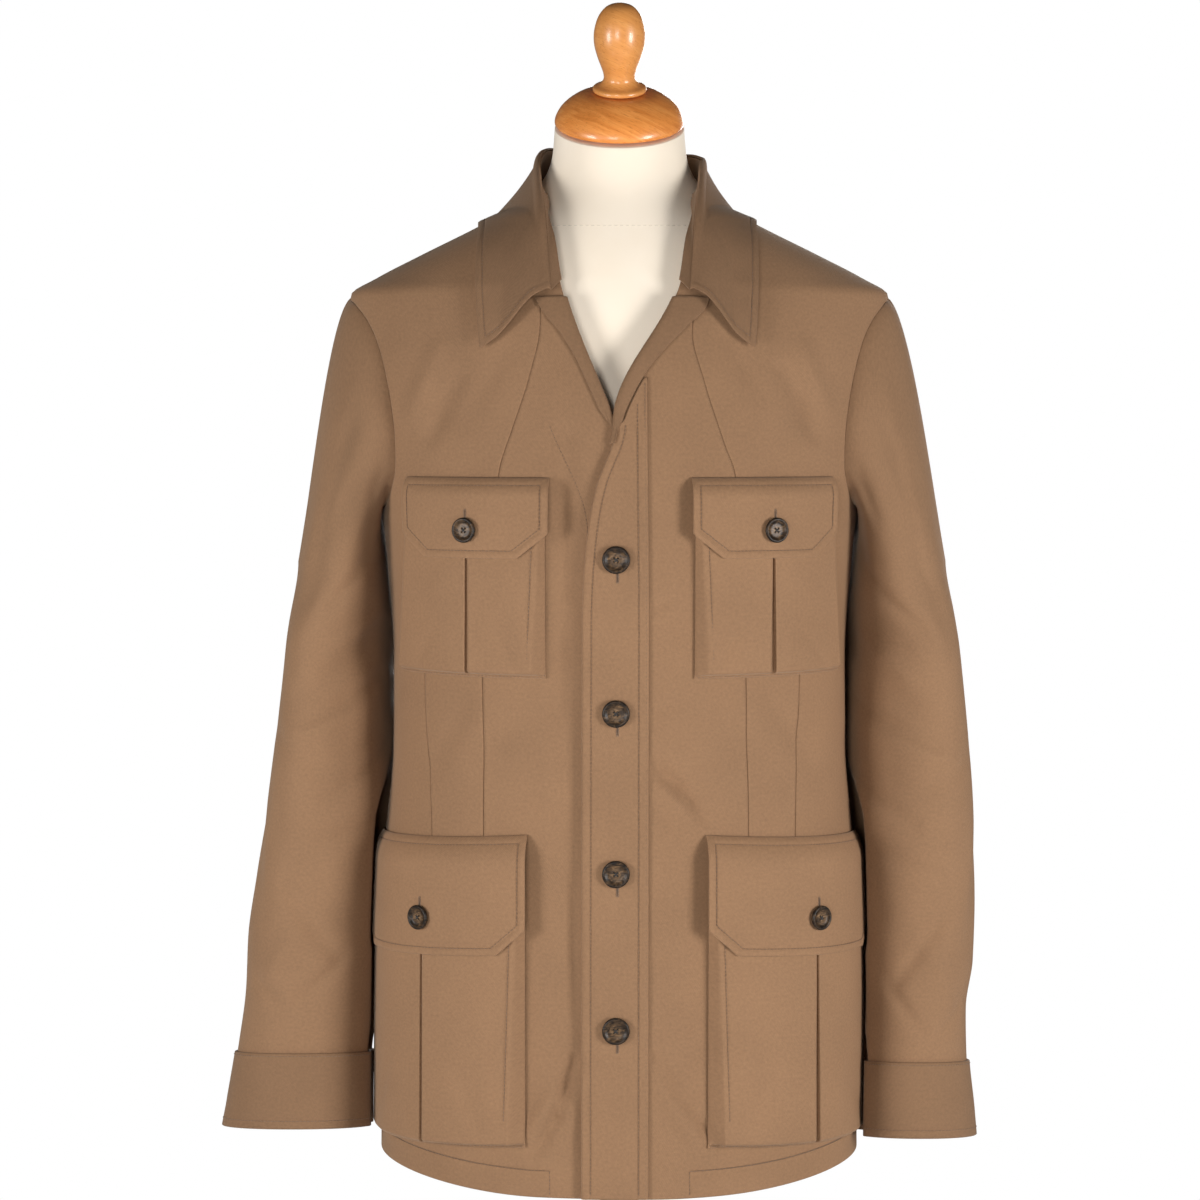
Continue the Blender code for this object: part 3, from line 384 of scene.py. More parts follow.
# ---------------------------------------------------------------- the body's shape, on arrays
def eased(rows, x):
    """The columns of a table at x in its first column, by a cubic that never overshoots the rows."""
    table = np.array(rows, float)
    key = table[:, 0]
    x = np.clip(np.asarray(x, float), key[0], key[-1])
    low = np.clip(np.searchsorted(key, x, side="right") - 1, 0, len(key) - 2)
    width = key[low + 1] - key[low]
    t = (x - key[low]) / width
    step = np.diff(table[:, 1:], axis=0) / np.diff(key)[:, None]
    slope = np.zeros_like(table[:, 1:])
    before, after = step[:-1], step[1:]
    both = before * after > 0.0
    total = np.where(both, before + after, 1.0)
    slope[1:-1] = np.where(both, 2.0 * before * after / total, 0.0)
    values = []
    for c in range(table.shape[1] - 1):
        column = table[:, c + 1]
        values.append(
            column[low] * (1 + 2 * t) * (1 - t) ** 2
            + column[low + 1] * t * t * (3 - 2 * t)
            + slope[low, c] * width * t * (1 - t) ** 2
            - slope[low + 1, c] * width * t * t * (1 - t)
        )
    return values


def smooth(low, high, x):
    """0 below low, 1 above high, and an even S between them."""
    t = np.clip((np.asarray(x, float) - low) / (high - low), 0.0, 1.0)
    return t * t * (3.0 - 2.0 * t)


def bent(v, power):
    """The sine or cosine of a rounded box's angle, raised to a power with its sign kept."""
    return np.sign(v) * np.abs(v) ** power


def travelled(points):
    """Distance along a line of points, at each of them."""
    return np.concatenate([[0.0], np.cumsum(np.linalg.norm(np.diff(points, axis=0), axis=-1))])


RING_STEP = 0.001
RING_Z = np.arange(0.600, 1.4486, RING_STEP)
RING_CUTS = 700


def half_rings():
    """For each level of RING_Z: the half ring's length, the side's distance, and points evenly along it."""
    half, ahead, back, power = (v[:, None] for v in eased(TORSO, RING_Z))
    angle = np.linspace(0.0, math.pi, 961)[None, :]
    x = half * np.abs(np.sin(angle)) ** (2.0 / power)
    depth = np.where(angle <= math.pi / 2, ahead, back)
    y = -np.sign(np.cos(angle)) * depth * np.abs(np.cos(angle)) ** (2.0 / power)
    cut = np.hypot(np.diff(x, axis=1), np.diff(y, axis=1))
    along = np.concatenate([np.zeros((len(RING_Z), 1)), np.cumsum(cut, axis=1)], axis=1)
    even = np.linspace(0.0, 1.0, RING_CUTS + 1)
    xs = np.stack([np.interp(even * a[-1], a, v) for a, v in zip(along, x)])
    ys = np.stack([np.interp(even * a[-1], a, v) for a, v in zip(along, y)])
    return along[:, -1], along[:, 480], xs, ys


RING_HALF, RING_SIDE, RING_X, RING_Y = half_rings()


def side(z):
    """Distance around the body from the centre front to the side line."""
    return np.interp(z, RING_Z, RING_SIDE)


def half_round(z):
    """Distance around the body from the centre front to the centre back."""
    return np.interp(z, RING_Z, RING_HALF)


def other_way(s, z):
    """A distance from the centre front as one from the centre back, or the reverse, on the same side."""
    return np.where(s < 0.0, -1.0, 1.0) * (half_round(z) - np.abs(s))


def bare(s, z):
    """Points of the unfolded body at distance s from the centre front (+X positive) and height z."""
    s, z = np.broadcast_arrays(np.asarray(s, float), np.asarray(z, float))
    level = (np.clip(z, RING_Z[0], RING_Z[-1]) - RING_Z[0]) / RING_STEP
    low = np.clip(np.floor(level).astype(int), 0, len(RING_Z) - 2)
    t = level - low
    x = np.zeros(s.shape)
    y = np.zeros(s.shape)
    for row, weight in ((low, 1.0 - t), (low + 1, t)):
        u = np.abs(s) / RING_HALF[row]
        past = u > 1.0
        u = np.where(past, 2.0 - u, u) * RING_CUTS
        k = np.clip(np.floor(u).astype(int), 0, RING_CUTS - 1)
        r = u - k
        reach = RING_X[row, k] * (1 - r) + RING_X[row, k + 1] * r
        x += weight * np.where(past, -reach, reach)
        y += weight * (RING_Y[row, k] * (1 - r) + RING_Y[row, k + 1] * r)
    return points_of(np.where(s < 0.0, -x, x), y, z)


def points_of(*parts):
    """Points from the arrays or numbers of their coordinates."""
    return np.stack(np.broadcast_arrays(*parts), axis=-1)


def unit(v):
    """Vectors of length 1."""
    return v / np.maximum(np.linalg.norm(v, axis=-1, keepdims=True), 1e-12)


def bare_normal(s, z):
    """Outward direction of the unfolded body."""
    step = 0.006
    across = bare(s + step, z) - bare(s - step, z)
    up = bare(s, z + step) - bare(s, z - step)
    return unit(np.cross(across, up))


def run_height(folds, across, z, scale=1.0):
    """Sum of the soft runs of a fold table; scale turns the first column into metres."""
    total = np.zeros(np.broadcast(across, z).shape)
    for a0, z0, a1, z1, height, width in folds:
        run = np.array([(a1 - a0) * scale, z1 - z0])
        spot_a, spot_z = (across - a0) * scale, z - z0
        t = np.clip((spot_a * run[0] + spot_z * run[1]) / run.dot(run), 0.0, 1.0)
        miss = np.hypot(spot_a - run[0] * t, spot_z - run[1] * t)
        total = total + height * (1.0 - 0.45 * np.abs(2.0 * t - 1.0)) * np.exp(-((miss / width) ** 2))
    return total


def torso(s, z, out=0.0):
    """Points of the jacket's inner face, moved out of the body by out."""
    s, z = np.broadcast_arrays(np.asarray(s, float), np.asarray(z, float))
    behind = other_way(s, z)
    fold = run_height(FRONT_FOLDS, s, z) + run_height(BACK_FOLDS, behind, z)
    fold = fold + CREASED * (run_height(FRONT_CREASES, s, z) + run_height(BACK_CREASES, behind, z))
    return bare(s, z) + bare_normal(s, z) * (fold + out)[..., None]


def lap(s, z):
    """How far the overlapping front stands off the body at distance s."""
    return LAP_LIFT * (1.0 - smooth(0.030, 0.085, s)) * (1.0 - smooth(1.300, 1.370, z))


def front(hand, s, z, out=0.0):
    """Points on a front: hand is 1 for the +X one, which laps over, and s grows away from the centre."""
    return torso(hand * s, z, out + (lap(s, z) if hand > 0 else 0.0))


def closeness(p):
    """0 on the unfolded body, less inside and more outside."""
    half, ahead, back, power = eased(TORSO, p[..., 2])
    depth = np.where(p[..., 1] < 0.0, ahead, back)
    return (np.abs(p[..., 0] / half) ** power + np.abs(p[..., 1] / depth) ** power) ** (1.0 / power) - 1.0


def clear_of_body(points, gap):
    """The points, moved straight out until they are at least gap off the body."""
    step = 0.002
    moved = points.copy()
    for _ in range(4):
        slope = []
        for d in np.eye(3) * step:
            slope.append((closeness(moved + d) - closeness(moved - d)) / (2.0 * step))
        slope = np.stack(slope, axis=-1)
        short = gap - closeness(moved) / np.linalg.norm(slope, axis=-1)
        moved += unit(slope) * np.maximum(short, 0.0)[..., None]
    return moved


# ---------------------------------------------------------------- makers
def lay_cloth(mesh, uv):
    """Cloth coordinates from one pair for each vertex."""
    layer = mesh.uv_layers.new(name="cloth")
    corner = np.empty(len(mesh.loops), dtype=np.int32)
    mesh.loops.foreach_get("vertex_index", corner)
    layer.data.foreach_set("uv", np.asarray(uv, float).reshape(-1, 2)[corner].ravel())


def place(name, verts, faces, look, uv=None, cad_slot=None, sheet=None, nodes=()):
    """A smooth mesh piece that rides on the root and stands for the given nodes."""
    mesh = bpy.data.meshes.new(name)
    verts = np.asarray(verts, float).reshape(-1, 3)
    mesh.from_pydata(verts.tolist(), [], faces)
    mesh.materials.append(look)
    mesh.shade_smooth()
    if uv is not None:
        lay_cloth(mesh, uv)
    made = bpy.data.objects.new(name, mesh)
    bpy.context.scene.collection.objects.link(made)
    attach(made, "root")
    if nodes:
        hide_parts(*nodes)
    return made


def slopes(grid, wrap):
    """Unit normals of a grid of points, from its columns crossed with its rows."""
    if wrap:
        across = np.roll(grid, -1, axis=1) - np.roll(grid, 1, axis=1)
    else:
        across = np.gradient(grid, axis=1)
    return unit(np.cross(across, np.gradient(grid, axis=0)))


def grid_faces(rows, columns, wrap, flip, start=0):
    """Squares between the points of a grid."""
    r, c = np.meshgrid(np.arange(rows - 1), np.arange(columns if wrap else columns - 1), indexing="ij")
    d = (c + 1) % columns
    low, high = r * columns, (r + 1) * columns
    quads = np.stack([low + c, low + d, high + d, high + c], axis=-1).reshape(-1, 4) + start
    return quads[:, ::-1] if flip else quads


def rim(rows, columns, wrap):
    """Grid places along the edge: one loop, or two where the columns close into a ring."""
    top = [(rows - 1, c) for c in range(columns)]
    bottom = [(0, c) for c in range(columns)]
    if wrap:
        return [bottom, top[::-1]]
    right = [(r, columns - 1) for r in range(1, rows - 1)]
    left = [(r, 0) for r in range(1, rows - 1)]
    return [bottom + right + top[::-1] + left[::-1]]


EDGE_ROUND = 0.35  # how far an edge's middle stands out, as a share of the wall


def kept_lines(count, step, wrap):
    """Every step-th line of a grid with its last one, and for each line the kept line that it meets."""
    kept = np.arange(0, count, step)
    if not wrap and kept[-1] != count - 1:
        kept = np.append(kept, count - 1)
    nearest = np.minimum(np.arange(count) // step, len(kept) - 1)
    if not wrap:
        nearest[-1] = len(kept) - 1
    return kept, nearest


def shell(node_name, grid, uv, wall, look, sheet, wrap=False, flip=False, outward=True, lining_step=1):
    """A node's cloth on a grid of points, whose columns crossed with its rows point out of it unless flipped.
    The wall grows out of the grid or into it, its edges are rounded, and its lining may have fewer lines."""
    rows, columns = grid.shape[:2]
    normal = slopes(grid, wrap) * (-1.0 if flip else 1.0)
    face = grid + normal * wall if outward else grid
    lining = grid if outward else grid - normal * wall
    count = rows * columns
    row_kept, row_near = kept_lines(rows, lining_step, False)
    column_kept, column_near = kept_lines(columns, lining_step, wrap)
    coarse = np.ix_(row_kept, column_kept)
    lining_faces = grid_faces(len(row_kept), len(column_kept), wrap, not flip, count)
    faces = [grid_faces(rows, columns, wrap, flip), lining_faces]
    verts = [face.reshape(-1, 3), lining[coarse].reshape(-1, 3)]
    uvs = [uv.reshape(-1, 2), uv[coarse].reshape(-1, 2)]
    start = count + len(row_kept) * len(column_kept)
    for loop in rim(rows, columns, wrap):
        r = np.array([p[0] for p in loop])
        c = np.array([p[1] for p in loop])
        r_in = np.clip(r, 1, rows - 2)
        c_in = c if wrap else np.clip(c, 1, columns - 2)
        away = unit(grid[r, c] - grid[r_in, c_in])
        middle = (face[r, c] + lining[r, c]) / 2 + away * wall * EDGE_ROUND
        n = len(loop)
        outer = r * columns + c
        under = count + row_near[r] * len(column_kept) + column_near[c]
        mid = start + np.arange(n)
        nxt = np.roll(np.arange(n), -1)
        one = np.stack([outer, mid, mid[nxt], outer[nxt]], axis=-1)
        two = np.stack([mid, under, under[nxt], mid[nxt]], axis=-1)
        for quads in (one, two):
            faces.append(quads[:, ::-1] if flip else quads)
        verts.append(middle)
        uvs.append(uv[r, c])
        start += n
    whole = [list(dict.fromkeys(f)) for f in np.concatenate(faces).tolist()]
    verts, uvs = np.concatenate(verts), np.concatenate(uvs)
    slot = look.name.replace("twill", "cloth")
    return place(f"cloth_{node_name}", verts, whole, look, uvs, slot, sheet, (node_name,))


def turned(name, profile, steps, look, matrix, **kept):
    """A turned solid from a profile of (radius, height), from the top of its axis to the bottom."""
    profile = np.asarray(profile, float)
    inner = profile[1:-1]
    angle = np.linspace(0.0, 2.0 * math.pi, steps, endpoint=False)
    across, ahead = inner[:, :1] * np.cos(angle), inner[:, :1] * np.sin(angle)
    ring = points_of(across, ahead, inner[:, 1:])
    count = len(inner) * steps
    verts = np.concatenate([ring.reshape(-1, 3), [[0, 0, profile[0, 1]], [0, 0, profile[-1, 1]]]])
    faces = grid_faces(len(inner), steps, True, True).tolist()
    for i in range(steps):
        j = (i + 1) % steps
        faces.append((count, i, j))
        faces.append((count + 1, count - steps + j, count - steps + i))
    turn = np.array(matrix)
    verts = verts @ turn[:3, :3].T + turn[:3, 3]
    return place(name, verts, faces, look, **kept)


def rounded(points, cuts):
    """A profile through the points with every stretch cut into equal steps and eased round its corners."""
    points = np.asarray(points, float)
    fine = np.concatenate([np.linspace(a, b, cuts, endpoint=False) for a, b in zip(points[:-1], points[1:])])
    fine = np.concatenate([fine, points[-1:]])
    for _ in range(cuts):
        fine[1:-1] = (fine[:-2] + 2.0 * fine[1:-1] + fine[2:]) / 4.0
    return fine


# ---------------------------------------------------------------- materials
def link(tree, start, end):
    """Joins an output to an input."""
    tree.links.new(start, end)


def settle(made, values):
    """Sets the inputs of a node; their names are written with _ for a space."""
    for key, value in values.items():
        made.inputs[key.replace("_", " ")].default_value = value


def nodes_of(name, **values):
    """A new material, its tree, and its shader with the values set."""
    made = bpy.data.materials.new(name)
    made.use_nodes = True
    shader = made.node_tree.nodes["Principled BSDF"]
    settle(shader, values)
    return made, made.node_tree, shader


def fed(tree, kind, vector, **values):
    """A new node with its values set, over the vector."""
    made = tree.nodes.new(kind)
    settle(made, values)
    link(tree, vector, made.inputs["Vector"])
    return made


def noise(tree, vector, **values):
    """Cloudy values over the vector."""
    return fed(tree, "ShaderNodeTexNoise", vector, **values).outputs["Fac"]


def split(tree, vector):
    """The three parts of the vector."""
    return list(fed(tree, "ShaderNodeSeparateXYZ", vector).outputs)


def on_object(tree):
    """The place on the object, in metres."""
    return tree.nodes.new("ShaderNodeTexCoord").outputs["Object"]


def on_cloth(tree):
    """The layer of cloth coordinates."""
    made = tree.nodes.new("ShaderNodeUVMap")
    made.uv_map = "cloth"
    return made.outputs["UV"]


def ramp(tree, fac, stops):
    """Colours at the stops, and between them."""
    made = tree.nodes.new("ShaderNodeValToRGB")
    points = made.color_ramp.elements
    while len(points) < len(stops):
        points.new(0.5)
    for point, (where, colour) in zip(points, stops):
        point.position = where
        point.color = (*colour, 1.0)
    link(tree, fac, made.inputs["Fac"])
    return made.outputs["Color"]


def maths(tree, operation, *terms):
    """One sum on outputs and numbers."""
    made = tree.nodes.new("ShaderNodeMath")
    made.operation = operation
    for socket, value in zip(made.inputs, terms):
        if isinstance(value, (int, float)):
            socket.default_value = value
        else:
            link(tree, value, socket)
    return made.outputs["Value"]


def weighed(tree, total, *parts):
    """The total and the parts, each times its weight."""
    for value, weight in parts:
        total = maths(tree, "ADD", total, maths(tree, "MULTIPLY", value, weight))
    return total


def wave(tree, angle):
    """From 0 to 1 and back, once each full turn of the angle."""
    return maths(tree, "MULTIPLY_ADD", maths(tree, "SINE", angle), 0.5, 0.5)


def relief(tree, shader, height, strength, distance):
    """Fine bumps of the given height on a shader."""
    bump = tree.nodes.new("ShaderNodeBump")
    settle(bump, dict(Strength=strength, Distance=distance))
    link(tree, height, bump.inputs["Height"])
    link(tree, bump.outputs["Normal"], shader.inputs["Normal"])


def shade(colour, factor):
    """The colour made lighter or darker."""
    return tuple(c * factor for c in colour)


TWILL_PITCH = 0.00085  # distance between two of the twill's ribs
YARN_TURNS = 9000.0  # of a wave's angle for each metre, across the yarns


def twill(name, colour):
    """Fine cotton twill: slanting ribs crossed by the yarns, uneven dye and a soft nap."""
    made, tree, shader = nodes_of(name, Roughness=0.80, Specular_IOR_Level=0.28)
    settle(shader, dict(Sheen_Weight=0.16, Sheen_Roughness=0.45, Sheen_Tint=(1.0, 0.86, 0.70, 1.0)))
    cloth = on_cloth(tree)
    weft, warp, _ = split(tree, cloth)
    waver = noise(tree, cloth, Scale=900.0, Detail=2.0)
    slant = weighed(tree, maths(tree, "MULTIPLY", weft, 0.62), (warp, 0.78))
    turns = weighed(tree, maths(tree, "MULTIPLY", slant, 2.0 * math.pi / TWILL_PITCH), (waver, 2.2))
    yarn = wave(tree, maths(tree, "MULTIPLY", warp, YARN_TURNS))
    weave = maths(tree, "MULTIPLY", wave(tree, turns), maths(tree, "MULTIPLY_ADD", yarn, 0.35, 0.65))
    fine = noise(tree, cloth, Scale=420.0, Detail=4.0, Roughness=0.65)
    broad = noise(tree, cloth, Scale=14.0, Detail=5.0, Roughness=0.55)
    tone = weighed(tree, maths(tree, "MULTIPLY", fine, 0.50), (weave, 0.26), (broad, 0.24))
    dyed = ramp(tree, tone, ((0.30, shade(colour, 0.78)), (0.50, colour), (0.72, shade(colour, 1.22))))
    link(tree, dyed, shader.inputs["Base Color"])
    relief(tree, shader, weighed(tree, weave, (fine, 0.8)), 0.55, 0.00025)
    return made


def thread(name, colour):
    """Matt sewing thread, a little uneven."""
    made, tree, shader = nodes_of(name, Roughness=0.60, Sheen_Weight=0.2)
    spots = noise(tree, on_object(tree), Scale=2500.0, Detail=2.0)
    look = ramp(tree, spots, ((0.3, shade(colour, 0.75)), (0.7, shade(colour, 1.2))))
    link(tree, look, shader.inputs["Base Color"])
    return made


def horn(name):
    """Dark horn, clouded brown in the middle and nearly black at the rim, half polished."""
    made, tree, shader = nodes_of(name, Roughness=0.38, Specular_IOR_Level=0.16)
    settle(shader, dict(Coat_Weight=0.03, Coat_Roughness=0.20))
    stretch = fed(
        tree, "ShaderNodeMapping", on_object(tree), Rotation=(0.0, 0.6, 0.0), Scale=(160.0, 160.0, 330.0)
    ).outputs["Vector"]
    cloud = noise(tree, stretch, Scale=1.0, Detail=5.0, Roughness=0.6, Distortion=1.4)
    right, up, _ = split(tree, on_cloth(tree))
    square = maths(tree, "ADD", maths(tree, "MULTIPLY", right, right), maths(tree, "MULTIPLY", up, up))
    middle = maths(tree, "SUBTRACT", 1.0, maths(tree, "SQRT", square))
    tone = maths(tree, "MULTIPLY", weighed(tree, cloud, (middle, 0.36)), 0.85)
    stops = (
        (0.40, (0.012, 0.009, 0.007)),
        (0.52, (0.036, 0.022, 0.013)),
        (0.66, (0.115, 0.067, 0.034)),
        (0.84, (0.270, 0.165, 0.085)),
    )
    link(tree, ramp(tree, tone, stops), shader.inputs["Base Color"])
    return made


GRAIN_FALL = 0.42  # slope of the wood's grain, down to the wearer's left


def along_grain(tree, scale, **values):
    """Cloudy values in streaks of the given size along the grain."""
    streak = fed(tree, "ShaderNodeMapping", on_object(tree), Rotation=(0.0, GRAIN_FALL, 0.0), Scale=scale)
    streak.vector_type = "TEXTURE"
    return noise(tree, streak.outputs["Vector"], Scale=1.0, **values)


def beech(name, tint, spread):
    """Varnished orange beech: slanting grain, short dark flecks and a clear gloss."""
    made, tree, shader = nodes_of(name, Roughness=0.36, Coat_Weight=0.35, Coat_Roughness=0.14)
    grain = along_grain(tree, (0.060, 0.016, 0.0030), Detail=7.0, Roughness=0.62, Distortion=0.5)
    even = np.array((0.70, 0.285, 0.082))
    around = ((0.30, (0.56, 0.195, 0.045)), (0.50, even), (0.70, (0.82, 0.395, 0.140)))
    look = ramp(tree, grain, [(at, tuple((even + (np.array(c) - even) * spread) * tint)) for at, c in around])
    fleck = along_grain(tree, (0.0080, 0.0015, 0.0007), Detail=3.0)
    dark = ramp(tree, fleck, ((0.33, (0.66, 0.56, 0.46)), (0.42, (1.0, 1.0, 1.0))))
    both = tree.nodes.new("ShaderNodeMix")
    both.data_type, both.blend_type = "RGBA", "MULTIPLY"
    both.inputs["Factor"].default_value = 0.6
    link(tree, look, both.inputs["A"])
    link(tree, dark, both.inputs["B"])
    link(tree, both.outputs["Result"], shader.inputs["Base Color"])
    return made


def linen(name):
    """Smooth cream cover cloth with a faint weave and uneven whiteness."""
    made, tree, shader = nodes_of(name, Roughness=0.78, Sheen_Weight=0.15)
    spot = on_object(tree)
    cloud = noise(tree, spot, Scale=18.0, Detail=4.0)
    look = ramp(tree, cloud, ((0.3, (0.94, 0.815, 0.655)), (0.7, (0.97, 0.855, 0.705))))
    link(tree, look, shader.inputs["Base Color"])
    relief(tree, shader, noise(tree, spot, Scale=1400.0, Detail=2.0), 0.25, 0.0002)
    return made


def painted(name):
    """Dark grey satin paint over steel, a little scuffed."""
    made, tree, shader = nodes_of(name, Roughness=0.42, Metallic=0.3)
    cloud = noise(tree, on_object(tree), Scale=40.0, Detail=8.0, Roughness=0.7)
    look = ramp(tree, cloud, ((0.35, (0.074, 0.071, 0.067)), (0.75, (0.088, 0.084, 0.079))))
    link(tree, look, shader.inputs["Base Color"])
    rough = ramp(tree, cloud, ((0.3, (0.39, 0.39, 0.39)), (0.7, (0.47, 0.47, 0.47))))
    link(tree, rough, shader.inputs["Roughness"])
    return made


CLOTH = (0.263, 0.1455, 0.0750)
BODY_LOOK = twill("body_twill", CLOTH)
# painted shade: the sleeves are the same cloth as the body, made 3% darker for the dimmer light at the sides
SLEEVE_LOOK_PAINTED_SHADE = twill("sleeve_twill", shade(CLOTH, 0.97))
# painted shade: collar, lapels and cuffs are the same cloth, made darker chiefly for the collar facing up
# away from the lamps
TRIM_LOOK_PAINTED_SHADE = twill("trim_twill", shade(CLOTH, 0.82))
# painted light: the pockets and flaps are the same cloth, made 4% lighter as if more light fell where they
# stand out
POCKET_LOOK_PAINTED_LIGHT = twill("pocket_twill", shade(CLOTH, 1.04))
THREAD_LOOK = thread("thread", shade(CLOTH, 0.62))
COVER_THREAD = thread("cover_thread", (0.62, 0.54, 0.44))
# near-black: real on the threads that hold the buttons; the same colour in the buttonholes' slits is a
# painted shadow
BUTTON_THREAD_AND_SLIT_SHADOW = thread("button_thread", (0.016, 0.013, 0.012))
HORN_LOOK = horn("horn")
WOOD_LOOK = beech("beech", (1.14, 1.00, 0.74), 0.85)
KNOB_LOOK = beech("beech_knob", (1.02, 1.04, 0.94), 0.40)
COVER_LOOK = linen("form_cover")
METAL_LOOK = painted("painted_steel")


# ---------------------------------------------------------------- body panels
CLOTH_START = dict(
    back=3.0, sleeve=5.0, cuff=8.0, collar_stand=12.0, collar_leaf=14.0, lapel=18.0, button_band=22.0,
    chest_pocket=30.0, hip_pocket=33.0, chest_flap=36.0, hip_flap=39.0,
)


def hem(s, level):
    """Height of a row of cloth: level above the hips, and bending with the hem at the bottom."""
    return level + SIDE_HEM_RISE * smooth(0.065, 0.235, np.abs(s)) * (1.0 - smooth(HEM_Z, HEM_FADE_Z, level))


def armhole(level):
    """How far the armhole's edge is from the side line at a height."""
    inside = (level > ARMHOLE[0][0]) & (level < ARMHOLE[-1][0])
    return np.where(inside, eased(ARMHOLE, level)[0], 0.0)


HEM_LINE = HEM_Z + 0.0215  # height of the hem's stitches
BODY_LEVELS = np.sort(np.concatenate([
    HEM_Z + np.array([0.0, 0.0007, 0.0018, 0.0045, 0.009, 0.0135, 0.017]),
    HEM_LINE + np.array([-0.0022, -0.0012, -0.0005, 0.0, 0.0005, 0.0012, 0.0024]),
    np.linspace(HEM_LINE + 0.0050, 1.188, 160),
    np.linspace(1.1905, NECK_Z, 92),
]))


def hem_dip(level):
    """Height of the cloth beside the hem's stitches."""
    d = level - HEM_LINE
    return 0.00035 * np.exp(-(((d + 0.0035) / 0.0022) ** 2)) - 0.00045 * np.exp(-((d / 0.0008) ** 2))


LONG_DART = {
    # z, distance; from under the collar down to the hem
    -1: ((0.640, 0.1085), (0.940, 0.1095), (1.061, 0.1100), (1.224, 0.0955), (1.262, 0.0835), (1.300, 0.0710),
         (1.342, 0.0625), (1.375, 0.0625), (1.448, 0.0790)),
    1: ((0.640, 0.1020), (0.940, 0.1025), (1.059, 0.1000), (1.222, 0.0900), (1.248, 0.0810), (1.296, 0.0650),
        (1.333, 0.0560), (1.375, 0.0590), (1.448, 0.0790)),
}
SIDE_DART = {
    -1: ((0.640, 0.1500), (0.938, 0.1575), (1.058, 0.1665), (1.200, 0.1560), (1.300, 0.1400), (1.375, 0.1080),
         (1.448, 0.0920)),
    1: ((0.640, 0.1400), (0.938, 0.1445), (1.059, 0.1490), (1.200, 0.1500), (1.300, 0.1380), (1.375, 0.1080),
        (1.448, 0.0920)),
}
SEAM_CUT = (
    # across the seam, height
    (-0.0034, 0.00005),
    (-0.0020, 0.00030),
    (-0.0008, 0.00010),
    (0.0000, -0.00075),
    (0.0007, -0.00035),
    (0.0016, 0.00002),
    (0.0030, 0.00000),
)
SEAM_FADE = (0.698, 0.716)  # heights over which the two seams of a front sink in above the hem
SEAM_TOPS = (1.344, 1.085)  # heights at which they begin to end again
ACROSS_FRONT = (34, 19, 34)  # columns before, between and behind the two seams


def front_cloth(word, hand, edge):
    """A front, from its edge to the side line, with its two seams as narrow sunk lines."""
    level = BODY_LEVELS[:, None]
    start = eased(edge, level)[0]
    end = side(level) - armhole(level) - SEAM / 2
    seams = [eased(rows, level)[0] for rows in (LONG_DART[hand], SIDE_DART[hand])]
    deep = [smooth(*SEAM_FADE, level) * (1.0 - smooth(top, top + 0.020, level)) for top in SEAM_TOPS]
    stops, low = [start], [0.0 * level]
    for seam, fade in zip(seams, deep):
        for across, height in SEAM_CUT:
            stops.append(seam + across)
            low.append(height * fade)
    stops.append(end)
    low.append(0.0 * level)
    seam_steps = [1] * (len(SEAM_CUT) - 1)
    counts = [ACROSS_FRONT[0], *seam_steps, ACROSS_FRONT[1], *seam_steps, ACROSS_FRONT[2]]
    s, dip = [], []
    for a, b, p, q, n in zip(stops[:-1], stops[1:], low[:-1], low[1:], counts):
        share = np.linspace(0.0, 1.0, n, endpoint=False)[None, :]
        s.append(a + (b - a) * share)
        dip.append(p + (q - p) * (share if n == 1 else np.where(share == 0.0, 0.0, 1.0)))
    s = np.concatenate(s + [stops[-1]], axis=1)
    dip = np.concatenate(dip + [low[-1]], axis=1)
    z = hem(s, level)
    dip = dip + hem_dip(level) * smooth(0.053, 0.058, s)
    return shell(
        f"front_{word}", front(hand, s, z, dip), points_of(hand * s, z), WALL, BODY_LOOK,
        dict(flat=(0.30, 0.80), area=0.212, held="hung", rests_on=["form_body"]),
        flip=hand < 0, lining_step=2,
    )


def back_cloth():
    """The back, whose outer columns bend toward the armholes."""
    level = BODY_LEVELS[:, None]
    share = np.linspace(-1.0, 1.0, 150)[None, :]
    z = hem(side(level), level) + 0.0 * share
    reach = half_round(z) - side(z) - SEAM / 2
    beside = np.clip((np.abs(share) - 0.6) / 0.4, 0.0, 1.0)
    behind = reach * share - np.sign(share) * armhole(level) * beside
    uv = points_of(behind + CLOTH_START["back"], z)
    return shell(
        "back", torso(other_way(behind, z), z, hem_dip(level)), uv, WALL, BODY_LOOK,
        dict(flat=(0.55, 0.80), area=0.40, held="hung", rests_on=["form_body"]),
        flip=True, lining_step=2,
    )


HANDS = (("right", -1), ("left", 1))
front_cloth("right", -1, UNDER_EDGE)
front_cloth("left", 1, UPPER_EDGE)
back_cloth()

# ---------------------------------------------------------------- sleeves and cuffs
AROUND = 120
TURNS = np.arange(AROUND) * 360.0 / AROUND
UPPER_ARM_Z = 1.150
FOLD_SHIFT, CREASE_SHIFT = 0.012, 0.010  # down the left sleeve and up the right one


def arm_loop(hand):
    """Points just inside the armhole's edge: the shoulder tip, the front, the underarm and up the back."""
    last = len(ARMHOLE) - 1
    index = TURNS * last / 180.0
    ahead = index <= last
    down = [row[0] for row in reversed(ARMHOLE)]
    z = eased(tuple(enumerate(down)), np.where(ahead, index, 2.0 * last - index))[0]
    reach = eased(ARMHOLE, z)[0]
    s = side(z) + np.where(ahead, -reach, reach)
    loop = torso(hand * s, z, WALL / 2)
    return loop + unit(loop.mean(axis=0) - loop) * 2 * SEAM


def sleeve_folds(hand, turn, z):
    """Height of a sleeve's folds and of its shallow creases, which lie at other heights on each arm."""
    soft = run_height(SLEEVE_FOLDS, turn, z + FOLD_SHIFT * hand, METRES_PER_DEGREE)
    return soft, CREASED * run_height(SLEEVE_CREASES, turn, z + CREASE_SHIFT * hand, METRES_PER_DEGREE)


